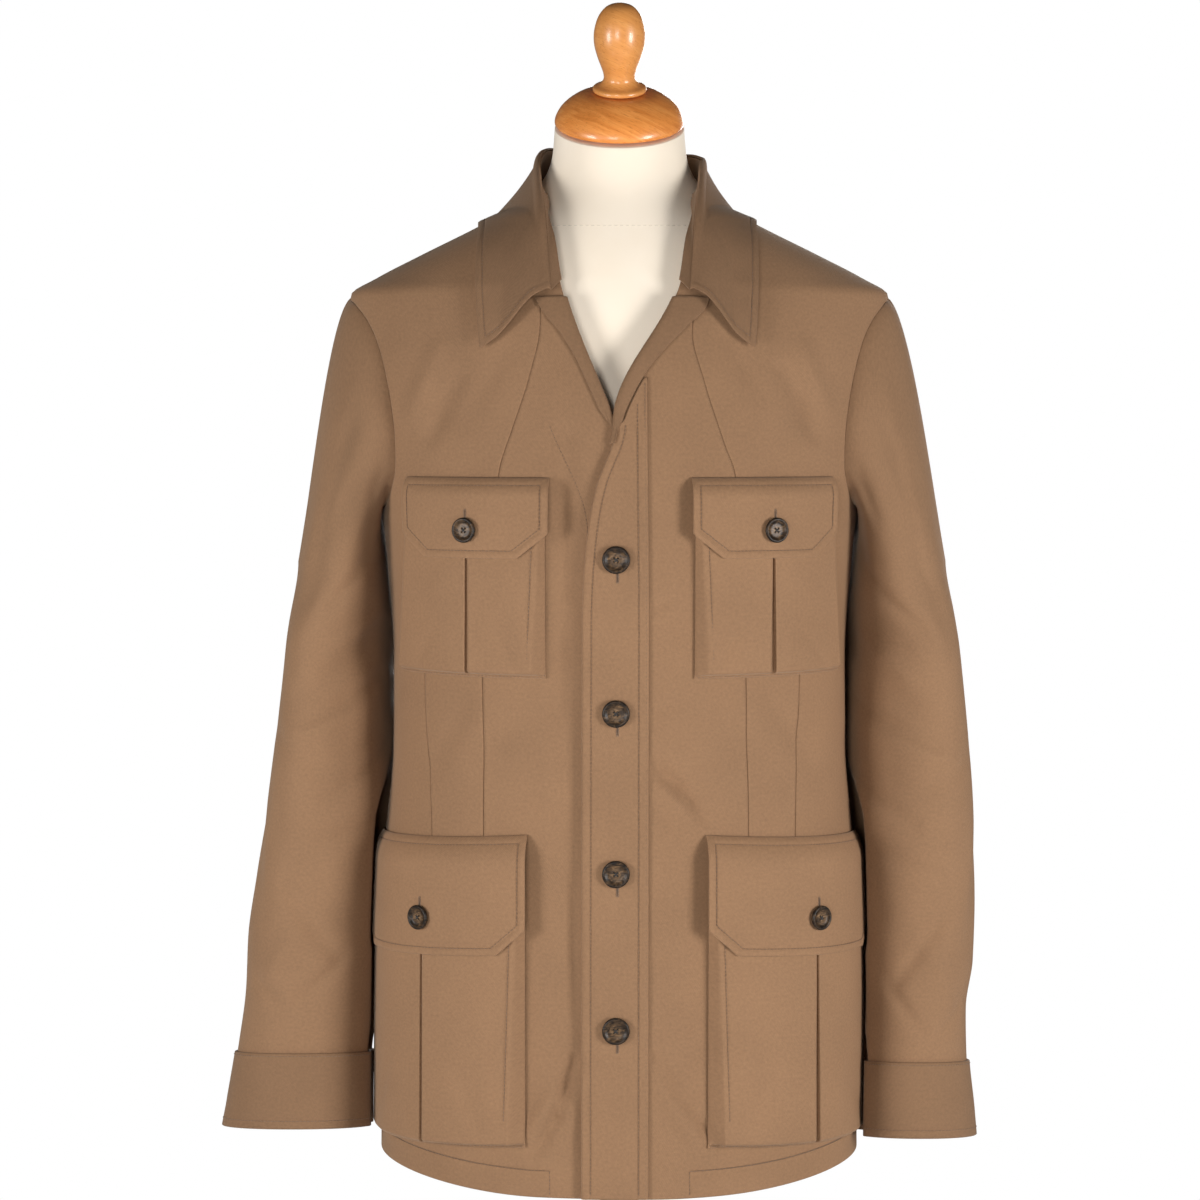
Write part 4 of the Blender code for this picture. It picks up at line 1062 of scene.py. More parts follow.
def sleeve_points(hand, turn, z, out=0.0):
    """Points of a sleeve's outer face; turn is 0 outside, 90 in front, 180 at the body and 270 behind."""
    outer, inner, middle, depth = eased(SLEEVE_LEFT_HAND if hand > 0 else SLEEVE_RIGHT_HAND, z)
    half = (outer - inner) / 2
    across, ahead = np.cos(np.radians(turn)), np.sin(np.radians(turn))
    slant = eased(SLEEVE_TURN, z)[0]
    narrow = np.sqrt(half**2 - (slant * depth) ** 2)
    y = middle - depth * bent(ahead, 2 / SLEEVE_EXPONENT)
    x = (outer + inner) / 2 + narrow * bent(across, 2 / SLEEVE_EXPONENT) - slant * (y - middle)
    length = np.hypot(across / half, ahead / depth)
    soft, fine = sleeve_folds(hand, turn, z)
    shift = out + soft + fine * smooth(CUFF_TOP_Z, CUFF_TOP_Z + 0.025, z)
    x = x + across / half / length * shift
    y = y - ahead / depth / length * shift
    level = z + (END_RISE * (middle - y) - END_DROP * hand) * (1.0 - smooth(*END_FADE, z))
    return points_of(hand * x, y, level)


def beside_body(points, cover):
    """The points, kept off the body and the hip pockets, with room for cover outside them."""
    in_front = 1.0 - smooth(-0.004, 0.022, points[..., 1])
    pockets = (eased(HIP_CLEAR, points[..., 2])[0] - SLEEVE_CLEAR) * in_front
    return clear_of_body(points, SLEEVE_CLEAR + pockets + cover)


def sleeve_head(hand, t):
    """Points of the sleeve between the armhole at t = 0 and the upper arm at t = 1."""
    turn = TURNS[None, :]
    start = arm_loop(hand)[None]
    end = sleeve_points(hand, TURNS, np.full(AROUND, UPPER_ARM_Z))[None]
    length = np.linalg.norm(end - start, axis=-1, keepdims=True)
    sine, cosine = np.sin(np.radians(turn)), np.cos(np.radians(turn))
    outside = smooth(-0.3, 0.7, cosine)
    leave = unit(points_of(float(hand), -0.30 * sine, -0.15 - 0.25 * outside))
    leave = leave * length * (0.50 - 0.23 * outside)[..., None]
    arrive = points_of(hand * (0.12 + 0.06 * outside), 0.0, -1.0)
    arrive = arrive * length * (0.55 + 0.50 * outside)[..., None]
    t = t[:, None, None]
    points = (
        start * (2 * t**3 - 3 * t**2 + 1)
        + leave * (t**3 - 2 * t**2 + t)
        + end * (3 * t**2 - 2 * t**3)
        + arrive * (t**3 - t**2)
    )
    t = t[..., 0]
    fold = sum(sleeve_folds(hand, turn, points[..., 2])) * smooth(0.1, 0.6, t)
    points[..., 0] += hand * cosine * fold * (1.0 - t)
    points[..., 1] -= sine * fold * (1.0 - t)
    return np.where(t[..., None] > 0.1, clear_of_body(points, SLEEVE_CLEAR), points)


def ring_uv(grid, start):
    """Cloth coordinates of a tube: the mean distance around it, and down it."""
    around = np.linalg.norm(np.roll(grid, -1, axis=1) - grid, axis=-1).mean(axis=0)
    u = np.concatenate([[0.0], np.cumsum(around)[:-1]]) + start
    down = np.concatenate([[0.0], np.cumsum(np.linalg.norm(np.diff(grid, axis=0), axis=-1).mean(axis=1))])
    return points_of(u[None, :], -down[:, None])


def sleeve_cloth(word, hand):
    """A sleeve with its head, whose end goes into the cuff."""
    head = sleeve_head(hand, np.linspace(0.0, 1.0, 46)[:-1])
    z = np.linspace(UPPER_ARM_Z, SLEEVE_END_Z, 104)[:, None]
    cover = (1.7 * PLY + WALL) * (1.0 - smooth(CUFF_TOP_Z, CUFF_TOP_Z + 0.03, z))
    tube = beside_body(sleeve_points(hand, TURNS[None, :], z), cover)
    grid = np.concatenate([head, tube])
    return shell(
        f"sleeve_{word}", grid, ring_uv(grid, CLOTH_START["sleeve"] + hand), WALL, SLEEVE_LOOK_PAINTED_SHADE,
        dict(flat=(0.44, 0.62), area=0.205, held="hung", rests_on=[f"cuff_{word}", "form_body"]),
        wrap=True, flip=hand < 0, outward=False, lining_step=2,
    )


def cuff_points(hand, z):
    """Rings of a cuff's inner face at the heights of a column."""
    return beside_body(sleeve_points(hand, TURNS[None, :], z, PLY), WALL)


def cuff_cloth(word, hand):
    """The plain band over a sleeve's end."""
    grid = cuff_points(hand, np.linspace(CUFF_TOP_Z, CUFF_END_Z, 26)[:, None])
    return shell(
        f"cuff_{word}", grid, ring_uv(grid, CLOTH_START["cuff"] + hand), WALL, TRIM_LOOK_PAINTED_SHADE,
        dict(flat=(0.33, 0.066), held="hung", rests_on=[f"cloth_sleeve_{word}"]),
        wrap=True, flip=hand < 0,
    )


for WORD, HAND in HANDS:
    sleeve_cloth(WORD, HAND)
    cuff_cloth(WORD, HAND)

# ---------------------------------------------------------------- collar
COLLAR_LAST = len(COLLAR) - 1
COLLAR_MIRRORED = [(-i, -r[0], r[1], r[2], -r[3], r[4], r[5]) for i, r in enumerate(COLLAR)]
COLLAR_ROUND = COLLAR_MIRRORED[:0:-1] + [(i, *r) for i, r in enumerate(COLLAR)]
STATIONS = np.linspace(-COLLAR_LAST, COLLAR_LAST, 221)
LEAF_BOW = 0.0040  # height of the bow at the leaf's ends
COLLAR_SHIFT = 0.0025  # of the fold to the wearer's left, and of the outer edge to the right
COLLAR_TILT = 0.045  # drop of the fold for each metre to the wearer's left


def collar_lines(t):
    """Fold and outer edge at the stations; the collar isn't worn quite evenly."""
    values = eased(COLLAR_ROUND, t)
    beside = COLLAR_SHIFT * smooth(1.0, 3.0, np.abs(t))
    on_neck = 1.0 - smooth(2.4, 3.6, np.abs(t))
    fold = points_of(values[0] + beside * on_neck, values[1], values[2] - COLLAR_TILT * on_neck * values[0])
    return fold, points_of(values[3] - beside, values[4], values[5])


def stand_foot(t):
    """The stand's lower edge: round the neckline, then down the front edges."""
    hand = np.where(t < 0.0, -1.0, 1.0)
    first, last = half_round(NECK_Z), eased(UPPER_EDGE, NECK_Z)[0]
    s = hand * (first + (last - first) * np.abs(t) / STAND_NECK)
    inward = bare_normal(s, NECK_Z)
    inward[..., 2] = 0.0
    on_neck = bare(s, NECK_Z) - unit(inward) * STAND_INSET + np.array([0.0, 0.0, STAND_RAISE])
    share = np.clip((np.abs(t) - STAND_NECK) / (COLLAR_LAST - STAND_NECK), 0.0, 1.0)
    start_z = NECK_Z + STAND_RAISE
    z = start_z + (STAND_END_Z - start_z) * share
    along, out = eased(STAND_FOOT, share)
    upper = front(1, eased(UPPER_EDGE, z)[0] + along, z, out)
    under = front(-1, eased(UNDER_EDGE, z)[0] + along, z, out)
    on_edge = np.where(hand[:, None] > 0, upper, under)
    return np.where(np.abs(t)[:, None] <= STAND_NECK, on_neck, on_edge)


def collar_stand():
    """The stand, whose foot is eased round where the neckline meets the front edges."""
    fold, foot = collar_lines(STATIONS)[0], stand_foot(STATIONS)
    turning = np.exp(-(((np.abs(STATIONS) - STAND_NECK) / 0.45) ** 2))[1:-1, None]
    for _ in range(60):
        foot[1:-1] += turning * ((foot[:-2] + foot[2:]) / 2.0 - foot[1:-1]) * 0.8
    share = np.linspace(0.0, 1.0, 15)[None, :, None]
    grid = fold[:, None] * (1.0 - share) + foot[:, None] * share
    uv = points_of(travelled(fold)[:, None] + CLOTH_START["collar_stand"], share[..., 0] * 0.035)
    return shell(
        "collar_stand", grid, uv, WALL, TRIM_LOOK_PAINTED_SHADE,
        dict(flat=(0.47, 0.045), area=0.0122, held="folded", rests_on=["front_left", "front_right", "back"]),
        flip=True, outward=False,
    )


LEAF_SHARES = np.concatenate([np.linspace(0.12, 0.885, 28), np.linspace(0.90, 1.0, 12)])


def leaf_grid(t, shares):
    """The leaf's fold, the point over it, and its underside from there to the outer edge."""
    fold, outer = collar_lines(t)
    span = outer - fold
    away = unit(span * np.array([1.0, 1.0, 0.0]))
    after, before = np.minimum(t + 0.2, COLLAR_LAST), np.maximum(t - 0.2, -COLLAR_LAST)
    ahead = collar_lines(after)[0] - collar_lines(before)[0]
    proud = -unit(np.cross(span, ahead))
    share = shares[None, :, None]
    crown = eased(LEAF_CROWN, np.abs(t))[0][:, None, None] * np.sin(math.pi * share**0.8)
    grid = fold[:, None] + span[:, None] * share + proud[:, None] * crown
    bow = LEAF_BOW * np.sin(2.0 * math.pi * share[..., 0] ** 0.85) * smooth(5.2, 7.0, np.abs(t))[:, None]
    grid[..., 2] += bow
    start = fold[:, None] + np.array([0.0, 0.0, PLY])
    over = fold[:, None] + away[:, None] * 0.0026 + np.array([0.0, 0.0, 0.0022])
    clear = clear_of_body(grid, eased(LEAF_CLEAR, np.abs(t))[0][:, None])
    grid = np.where(share > 0.2, clear, grid)
    return start, over, grid


def collar_leaf():
    """The leaf, rolled over the fold and topstitched round its free edges."""
    start, over, grid = leaf_grid(STATIONS, LEAF_SHARES)
    keys = np.concatenate([start, over, grid], axis=1)
    ease = np.linspace(0.0, 1.0, 7)[None, :, None]
    first, second, third = keys[:, :1], keys[:, 1:2], keys[:, 2:3]
    bend = first * (1 - ease) ** 2 + second * 2 * ease * (1 - ease) + third * ease**2
    crest = bend + (second - (first + third) / 2) * 2 * ease * (1 - ease) * 0.3
    whole = np.concatenate([crest[:, :-1], keys[:, 2:]], axis=1)
    to_edge = np.linalg.norm(whole - whole[:, -1:], axis=-1)
    ends = np.minimum(np.linalg.norm(whole - whole[:1], axis=-1), np.linalg.norm(whole - whole[-1:], axis=-1))
    whole = whole - slopes(whole, False) * pinch(np.minimum(to_edge, ends))[..., None] * 0.7
    sew_leaf(whole, to_edge, ends)
    v = np.cumsum(np.concatenate([[0.0], np.linalg.norm(np.diff(whole, axis=1), axis=-1).mean(axis=0)]))
    uv = points_of(travelled(whole[:, -1])[:, None] + CLOTH_START["collar_leaf"], -v[None, :])
    return shell(
        "collar_leaf", whole, uv, WALL, TRIM_LOOK_PAINTED_SHADE,
        dict(flat=(0.56, 0.085), area=0.042, held="folded", rests_on=["cloth_collar_stand"]),
        flip=True,
    )


# ---------------------------------------------------------------- turned-back front edges and the button band
ROLL = (
    # share of the width, fixed distance across, height; the edge stands up and rolls out over the front
    (0.00, -0.0024, 0.0004),
    (0.00, -0.0031, 0.0022),
    (0.00, -0.0018, 0.0040),
    (0.00, 0.0016, 0.0047),
    (0.55, 0.0000, 0.0040),
    (1.00, 0.0000, 0.0033),
)


def lapel(word, hand, edge, widths, area):
    """The strip of facing that rolls out over a front."""
    z = np.linspace(widths[0][0], widths[-1][0], 60)[:, None]
    width = eased(widths, z)[0]
    row, fine = np.arange(len(ROLL)), np.linspace(0.0, len(ROLL) - 1.0, 31)
    wide, fixed, height = np.array(ROLL).T
    keys = width * wide + fixed
    s = eased(edge, z)[0] + np.stack([eased(tuple(zip(row, k)), fine)[0] for k in keys])
    out = eased(tuple(zip(row, height)), fine)[0][None, :]
    uv = points_of(CLOTH_START["lapel"] + hand + s, z)
    return shell(
        f"lapel_{word}", front(hand, s, z, out), uv, ROLL_WALL, TRIM_LOOK_PAINTED_SHADE,
        dict(flat=(0.036, 0.105), area=area, held="folded", rests_on=[f"cloth_front_{word}"]),
        flip=hand < 0, outward=False,
    )


lapel("right", -1, UNDER_EDGE, UNDER_ROLL, 0.0019)
lapel("left", 1, UPPER_EDGE, UPPER_ROLL, 0.0025)

EDGE_STEPS = np.array([0.0, 0.9, 1.8, 2.8, 3.8, 4.6, 5.1, 5.5, 5.9, 6.5, 7.5, 9.0, 11.0]) / 1000.0


def close_at_ends(length, spacing):
    """Distances over a length, close together near both ends, where the topstitching pinches the cloth."""
    inner = np.linspace(EDGE_STEPS[-1], length - EDGE_STEPS[-1], max(int(length / spacing), 3))
    return np.concatenate([EDGE_STEPS[:-1], inner, length - EDGE_STEPS[:-1][::-1]])


STITCH_IN = 0.0055  # from an edge to its row of stitches


def pinch(d, at=STITCH_IN):
    """Height of a turned and topstitched edge at a distance from it."""
    return 0.00042 * np.exp(-(((d - 0.0024) / 0.0019) ** 2)) - 0.00040 * np.exp(-(((d - at) / 0.0009) ** 2))


BAND_TOP_Z = 1.2985
EDGE_TOP_Z = 1.262  # where the fronts' edges begin to roll out


def band_seam(z):
    """Distance of the band's sewn edge from the centre front."""
    return BAND_IN + (BAND_IN_TOP - BAND_IN) * smooth(1.10, 1.28, z)


def button_band():
    """The band sewn along the overlapping edge."""
    z = np.linspace(HEM_Z + 0.0006, BAND_TOP_Z, 300)[:, None]
    start = eased(UPPER_EDGE, z)[0] + 0.0006
    rolled = np.where(z > EDGE_TOP_Z, eased(UPPER_ROLL, z)[0] + 0.0014, 0.0)
    start = start + rolled * smooth(EDGE_TOP_Z - 0.006, EDGE_TOP_Z + 0.006, z)
    end = band_seam(z)
    share = (close_at_ends(0.052, 0.0030) / 0.052)[None, :]
    s = start + (end - start) * share
    out = WALL + PLY + (pinch(s - start, 0.0070) + pinch(end - s, 0.0075)) * (1.0 - smooth(1.25, 1.28, z))
    return shell(
        "button_band", front(1, s, z, out), points_of(CLOTH_START["button_band"] + s, z), BAND, BODY_LOOK,
        dict(flat=(0.058, 0.645), area=0.0335, held="hung", rests_on=["cloth_front_left"]),
    )


button_band()


# ---------------------------------------------------------------- pockets
def between(ends, t):
    """From the first end at t = 0 to the second at t = 1."""
    return ends[0] + (ends[1] - ends[0]) * t


def bag_depth(size, s, z):
    """How far a bag's face stands off the front, less toward its outer side and its mouth."""
    t = np.clip((size["mouth"] - z) / (size["mouth"] - size["bottom"]), 0.0, 1.0)
    low = between(size["foot_out"], t)
    beside = smooth(size["pleat"], low, s)
    return size["deep"] * (0.72 + 0.28 * t) * (1.0 - (1.0 - size["outer_share"]) * beside)


def on_pocket(hand, size, s, z, out):
    """Points of a pocket, whose distances and level lines are set to its front."""
    nudge = size["nudge"] if hand > 0 else 0.0
    return front(hand, s - nudge, z - size["slope"] * (s - size["flap_in"]), out)


BAG_CREASES = (
    # across, as a share of the pleat's distance, and down the bag; height, half width
    (-0.66, 0.97, -0.80, 0.74, -0.0014, 0.035),
    (-0.60, 0.90, -0.68, 0.62, 0.0009, 0.050),
    (-1.42, 0.97, -1.24, 0.72, -0.0012, 0.035),
    (-0.94, 0.60, -0.82, 0.46, -0.0007, 0.050),
    (-1.30, 0.52, -1.12, 0.40, 0.0008, 0.060),
    (0.62, 0.97, 0.78, 0.70, -0.0014, 0.035),
    (0.58, 0.86, 0.66, 0.60, 0.0009, 0.050),
    (1.44, 0.96, 1.22, 0.74, -0.0012, 0.035),
    (1.08, 0.98, 1.16, 0.70, 0.0010, 0.045),
    (0.90, 0.62, 0.80, 0.44, -0.0006, 0.050),
    (1.34, 0.50, 1.14, 0.42, 0.0007, 0.060),
)


FOOT_STEPS = np.array([6.0, 5.4, 4.8, 4.2, 3.7, 3.3, 3.0, 2.7, 2.4, 2.1, 1.2, 0.0]) / 1000.0


def pocket_cloth(place_name, word, hand, size, flat):
    """A bag: its face with the inverted pleat, and its side walls down to the sewn foot."""
    low, high, pleat = size["bottom"], size["mouth"], size["pleat"]
    level = np.concatenate([np.linspace(high, low + 0.0068, 60), low + FOOT_STEPS])
    full = np.interp(level, [low + 0.0022, low + 0.0036, low + 0.0058], [0.0, 0.84, 1.0])
    rise = np.clip((level - low - 0.0021) / 0.0044, 0.0, 1.0)
    full = np.sqrt(np.clip(1.0 - (1.0 - rise) ** 2, 0.0, 1.0)) * 0.60 + full * 0.40
    down = ((high - level) / (high - low))[:, None]
    face_in, face_out = between(size["face_in"], down), between(size["face_out"], down)
    cut = 1.0 - 0.0034 / size["deep"]
    gape = (0.0010 if hand > 0 else 0.0002) * smooth(0.25, 0.95, down)
    fold_in, fold_out = pleat - gape, pleat + gape
    columns = (
        # distance, share of the bag's depth, steps to the next
        (size["foot_in"] + 0 * down, 0.0, 5),
        (face_in, 0.88, 3),
        (face_in + 0.0018, 1.02, 2),
        (face_in + 0.0056, 0.97, 18),
        (fold_in - 0.0052, 1.0, 3),
        (fold_in - 0.0011, 1.03, 2),
        (fold_in - 0.00084, cut, 2),
        (fold_out + 0.00084, cut, 2),
        (fold_out + 0.0011, 1.03, 3),
        (fold_out + 0.0052, 1.0, 18),
        (face_out - 0.0056, 0.97, 2),
        (face_out - 0.0018, 1.02, 3),
        (face_out, 0.88, 5),
        (between(size["foot_out"], down), 0.0, 0),
    )
    s, share = [], []
    for (s0, d0, n), (s1, d1, _) in zip(columns[:-1], columns[1:]):
        t = np.linspace(0.0, 1.0, n, endpoint=False)[None, :]
        s.append(s0 + (s1 - s0) * t)
        share.append(d0 + (d1 - d0) * t[0])
    s = np.concatenate(s + [columns[-1][0]], axis=1)
    share = np.concatenate(share + [[0.0]])[None, :]
    z = level[:, None] + 0 * s
    soft = run_height(BAG_CREASES, hand * s / size["pleat"], down + 0 * s)
    soft = soft * np.clip(full[:, None] * share, 0.0, 1.0) ** 2
    out = FOOT_OUT + bag_depth(size, s, z) * full[:, None] * share + soft
    uv = points_of(CLOTH_START[f"{place_name}_pocket"] + hand * s, z)
    return shell(
        f"{place_name}_pocket_{word}", on_pocket(hand, size, s, z, out), uv, BAND, POCKET_LOOK_PAINTED_LIGHT,
        dict(flat=flat, held="hung", rests_on=[f"cloth_front_{word}"]),
        flip=hand > 0, outward=False,
    )


def flap_outline(size, share):
    """Height, and the sides' distances, of a flap's row at a share of its height."""
    height = size["flap_top"] - size["flap_bottom"]
    cut = 1.0 - size["chamfer_h"] / height
    narrow = size["chamfer_w"] * np.clip((share - cut) / (1.0 - cut), 0.0, None)
    return size["flap_top"] - height * share, size["flap_in"] + narrow, size["flap_out"] - narrow


def flap_out(size, s, z):
    """How far a flap's underside stands off the front."""
    share = (size["flap_top"] - z) / (size["flap_top"] - size["flap_bottom"])
    over = FOOT_OUT + bag_depth(size, s, z) + FLAP_GAP
    rise = 1.0 - (1.0 - np.clip(share / 0.24, 0.0, 1.0)) ** 2
    return WALL + PLY + (over - WALL - PLY) * rise


def from_outline(size, s, z):
    """Distance of a point inside a flap from the flap's nearest edge."""
    top, bottom, left, right = size["flap_top"], size["flap_bottom"], size["flap_in"], size["flap_out"]
    w, h = size["chamfer_w"], size["chamfer_h"]
    scale = math.hypot(1.0 / w, 1.0 / h)
    corner_in = ((s - left) / w + (z - bottom) / h - 1.0) / scale
    corner_out = ((right - s) / w + (z - bottom) / h - 1.0) / scale
    return np.minimum.reduce([s - left, right - s, top - z, z - bottom, corner_in, corner_out])


def pocket_flap(place_name, word, hand, size, flat, area):
    """A flap with cut-off corners, pinched along its stitches."""
    height, width = size["flap_top"] - size["flap_bottom"], size["flap_out"] - size["flap_in"]
    share = (close_at_ends(height, 0.0030) / height)[:, None]
    z, left, right = flap_outline(size, share)
    s = left + (right - left) * (close_at_ends(width, 0.0028) / width)[None, :]
    z = z + 0 * s
    out = flap_out(size, s, z) + pinch(from_outline(size, s, z))
    uv = points_of(CLOTH_START[f"{place_name}_flap"] + hand * s, z)
    return shell(
        f"{place_name}_flap_{word}", on_pocket(hand, size, s, z, out), uv, BAND, POCKET_LOOK_PAINTED_LIGHT,
        dict(flat=flat, area=area, held="hung", rests_on=[f"cloth_{place_name}_pocket_{word}"]),
        flip=hand > 0,
    )


for WORD, HAND in HANDS:
    pocket_cloth("chest", WORD, HAND, CHEST, (0.155, 0.145))
    pocket_cloth("hip", WORD, HAND, HIPS[HAND], (0.205, 0.240))
    pocket_flap("chest", WORD, HAND, CHEST, (0.132, 0.065), 0.0080)
    pocket_flap("hip", WORD, HAND, HIP, (0.180, 0.105), 0.0183)


# ---------------------------------------------------------------- buttons
def on_front(hand, s, z, out):
    """Frame on a front, with its own Z straight out of the cloth and Y up."""
    step = 0.008
    across = front(hand, s + hand * step, z, out) - front(hand, s - hand * step, z, out)
    up = front(hand, s, z + step, out) - front(hand, s, z - step, out)
    outward = unit(np.cross(across, up))
    level = unit(across)
    made = np.eye(4)
    made[:3, 0], made[:3, 1], made[:3, 2] = level, np.cross(outward, level), outward
    made[:3, 3] = front(hand, s, z, out)
    return made


HOLE_SPREAD = 0.0019  # from a button's middle to its holes
HOLE_R = 0.00078
HOLE_DEPTH = 0.0015


def button(name, radius, matrix, node_name):
    """Four-hole button: a dished middle inside a rounded rim, with four pits for its thread."""
    points = (
        (radius * 0.40, 0.0023),
        (radius * 0.60, 0.0024),
        (radius * 0.74, 0.0035),
        (radius * 0.84, 0.0040),
        (radius * 0.94, 0.0037),
        (radius, 0.0028),
        (radius * 0.97, 0.0014),
        (radius * 0.86, 0.0),
        (0.0, 0.0),
    )
    middle = points_of(np.arange(0.0, points[0][0], 0.00020), points[0][1])
    profile = np.concatenate([middle, rounded(points, 4)])
    made = turned(name, profile, 64, HORN_LOOK, np.eye(4), nodes=(node_name,), cad_slot="horn")
    mesh = made.data
    verts = np.empty(len(mesh.vertices) * 3)
    mesh.vertices.foreach_get("co", verts)
    verts = verts.reshape(-1, 3)
    top = verts[:, 2] > 0.0018
    for angle in np.radians((45.0, 135.0, 225.0, 315.0)):
        x, y = HOLE_SPREAD * math.cos(angle), HOLE_SPREAD * math.sin(angle)
        far = np.hypot(verts[:, 0] - x, verts[:, 1] - y)
        verts[:, 2] -= np.where(top, HOLE_DEPTH * (1.0 - smooth(HOLE_R * 0.75, HOLE_R * 1.1, far)), 0.0)
    lay_cloth(mesh, verts[:, :2] / radius)
    moved = verts @ matrix[:3, :3].T + matrix[:3, 3]
    mesh.vertices.foreach_set("co", moved.ravel())
    mesh.update()
    return made


def cross_thread(matrix):
    """The two threads that cross between a button's holes, doubled."""
    lines = []
    for angle in (45.0, 135.0):
        way = np.array([math.cos(math.radians(angle)), math.sin(math.radians(angle)), 0.0])
        beside = np.array([-way[1], way[0], 0.0])
        for shift in (-0.00024, 0.00024):
            t = np.linspace(-1.0, 1.0, 9)[:, None]
            line = way * HOLE_SPREAD * 1.12 * t + beside * shift + np.array([0.0, 0.0, 0.00245])
            line[:, 2] += 0.00022 if angle > 90.0 else 0.0
            out = np.broadcast_to(matrix[:3, 2], line.shape)
            lines.append((line @ matrix[:3, :3].T + matrix[:3, 3], out))
    return lines


BUTTONHOLE_PITCH = 0.00048  # between two of a buttonhole's stitches


def buttonhole(hand, s, high, low, out, size=None):
    """Close stitches on both sides of an upright slit, and across its ends."""
    lines = []
    for z in np.linspace(low, high, int((high - low) / BUTTONHOLE_PITCH)):
        for inner, outer in ((-0.00018, -0.00125), (0.00018, 0.00125)):
            lines.append(drawn(hand, [s + inner, s + outer], [z, z], out, size))
    for z in (low - 0.0005, high + 0.0005):
        for shift in (-0.0003, 0.0003):
            lines.append(drawn(hand, [s - 0.0013, s + 0.0013], [z + shift, z + shift], out, size))
    return lines


# ---------------------------------------------------------------- sewing
STITCH = 0.0030
THREAD_R = 0.00028
ON_FACE = 0.00005  # how far outside the cloth a row of stitches runs


def sewn(name, lines, look, pitch=STITCH, radius=THREAD_R, share=0.80, proud=0.00018):
    """Rows of stitches: each a short thread that rises from the cloth and goes back into it. A line is its
    points and the directions out of the cloth there."""
    spots = np.array([0.0, 0.18, 0.50, 0.82, 1.0])
    lift = np.array([-0.9, 0.4, 1.0, 0.4, -0.9])
    reach = (np.array([0.55, 0.95, 1.0, 0.95, 0.55]) * radius)[:, None, None]
    sides = np.arange(5) * 2.0 * math.pi / 5
    verts, faces, start = [], [], 0
    for points, outward in lines:
        far = travelled(points)
        count = max(int(far[-1] / pitch), 1)
        where = (np.arange(count)[:, None] + 0.5 * (1.0 - share) + share * spots[None, :]) * (far[-1] / count)
        middle, out = (points_of(*(np.interp(where, far, v) for v in line.T)) for line in (points, outward))
        out = unit(out)
        ahead = unit(middle[:, -1] - middle[:, 0])[:, None]
        beside = unit(np.cross(ahead, out))
        middle = middle + out * (lift * proud)[:, None]
        across = beside[:, :, None] * (np.cos(sides)[:, None] * reach)
        ring = middle[:, :, None] + across + out[:, :, None] * (np.sin(sides)[:, None] * reach)
        verts.append(ring.reshape(-1, 3))
        one = grid_faces(5, 5, True, False)
        quads = (one[None] + 25 * np.arange(count)[:, None, None]).reshape(-1, 4) + start
        faces.extend(quads.tolist())
        for k in range(count):
            base = start + 25 * k
            faces.append([base + 4, base + 3, base + 2, base + 1, base])
            faces.append([base + 20, base + 21, base + 22, base + 23, base + 24])
        start += 25 * count
    return place(name, np.concatenate(verts), faces, look, cad_slot="body_cloth")


def drawn(hand, s, z, out, size=None):
    """A line on a front, or on a pocket of it, through distances and heights, and its directions."""
    s, z = np.asarray(s, float), np.asarray(z, float)
    far = np.concatenate([[0.0], np.cumsum(np.hypot(np.diff(s), np.diff(z)))])
    where = np.linspace(0.0, far[-1], max(int(far[-1] / 0.0015), 2))
    s, z = np.interp(where, far, s), np.interp(where, far, z)
    height = out(s, z) if callable(out) else out
    points = front(hand, s, z, height) if size is None else on_pocket(hand, size, s, z, height)
    return points, bare_normal(hand * s, z)


def flap_line(size, inset):
    """The line of stitches inside a flap's edge, all round it."""
    top, bottom = size["flap_top"] - inset, size["flap_bottom"] + inset
    left, right = size["flap_in"] + inset, size["flap_out"] - inset
    w, h = size["chamfer_w"] - 0.25 * inset, size["chamfer_h"] - 0.25 * inset
    return (
        [left, right, right, right - w, left + w, left, left],
        [top, top, bottom + h, bottom, bottom, bottom + h, top],
    )


def flap_face(size):
    """The height of stitches on a flap, at distances and heights."""
    return lambda s, z: flap_out(size, s, z) + BAND + ON_FACE


def sew_leaf(whole, to_edge, ends):
    """Topstitching inside the leaf's edge: up one end, along the outer edge and down the other end."""
    outward = -slopes(whole, False)
    face = whole + outward * (WALL + ON_FACE)
    column = int(np.argmin(np.abs(to_edge.mean(axis=0) - STITCH_IN)))
    row = int(np.argmin(np.abs(ends[:12, 20:40].mean(axis=1) - STITCH_IN)))

    def around(grid):
        """The values of a grid along the stitches."""
        return np.concatenate([grid[row, 8:column], grid[row:-row, column], grid[-1 - row, 8:column][::-1]])

    sewn("stitches_collar", [(around(face), around(outward))], THREAD_LOOK)


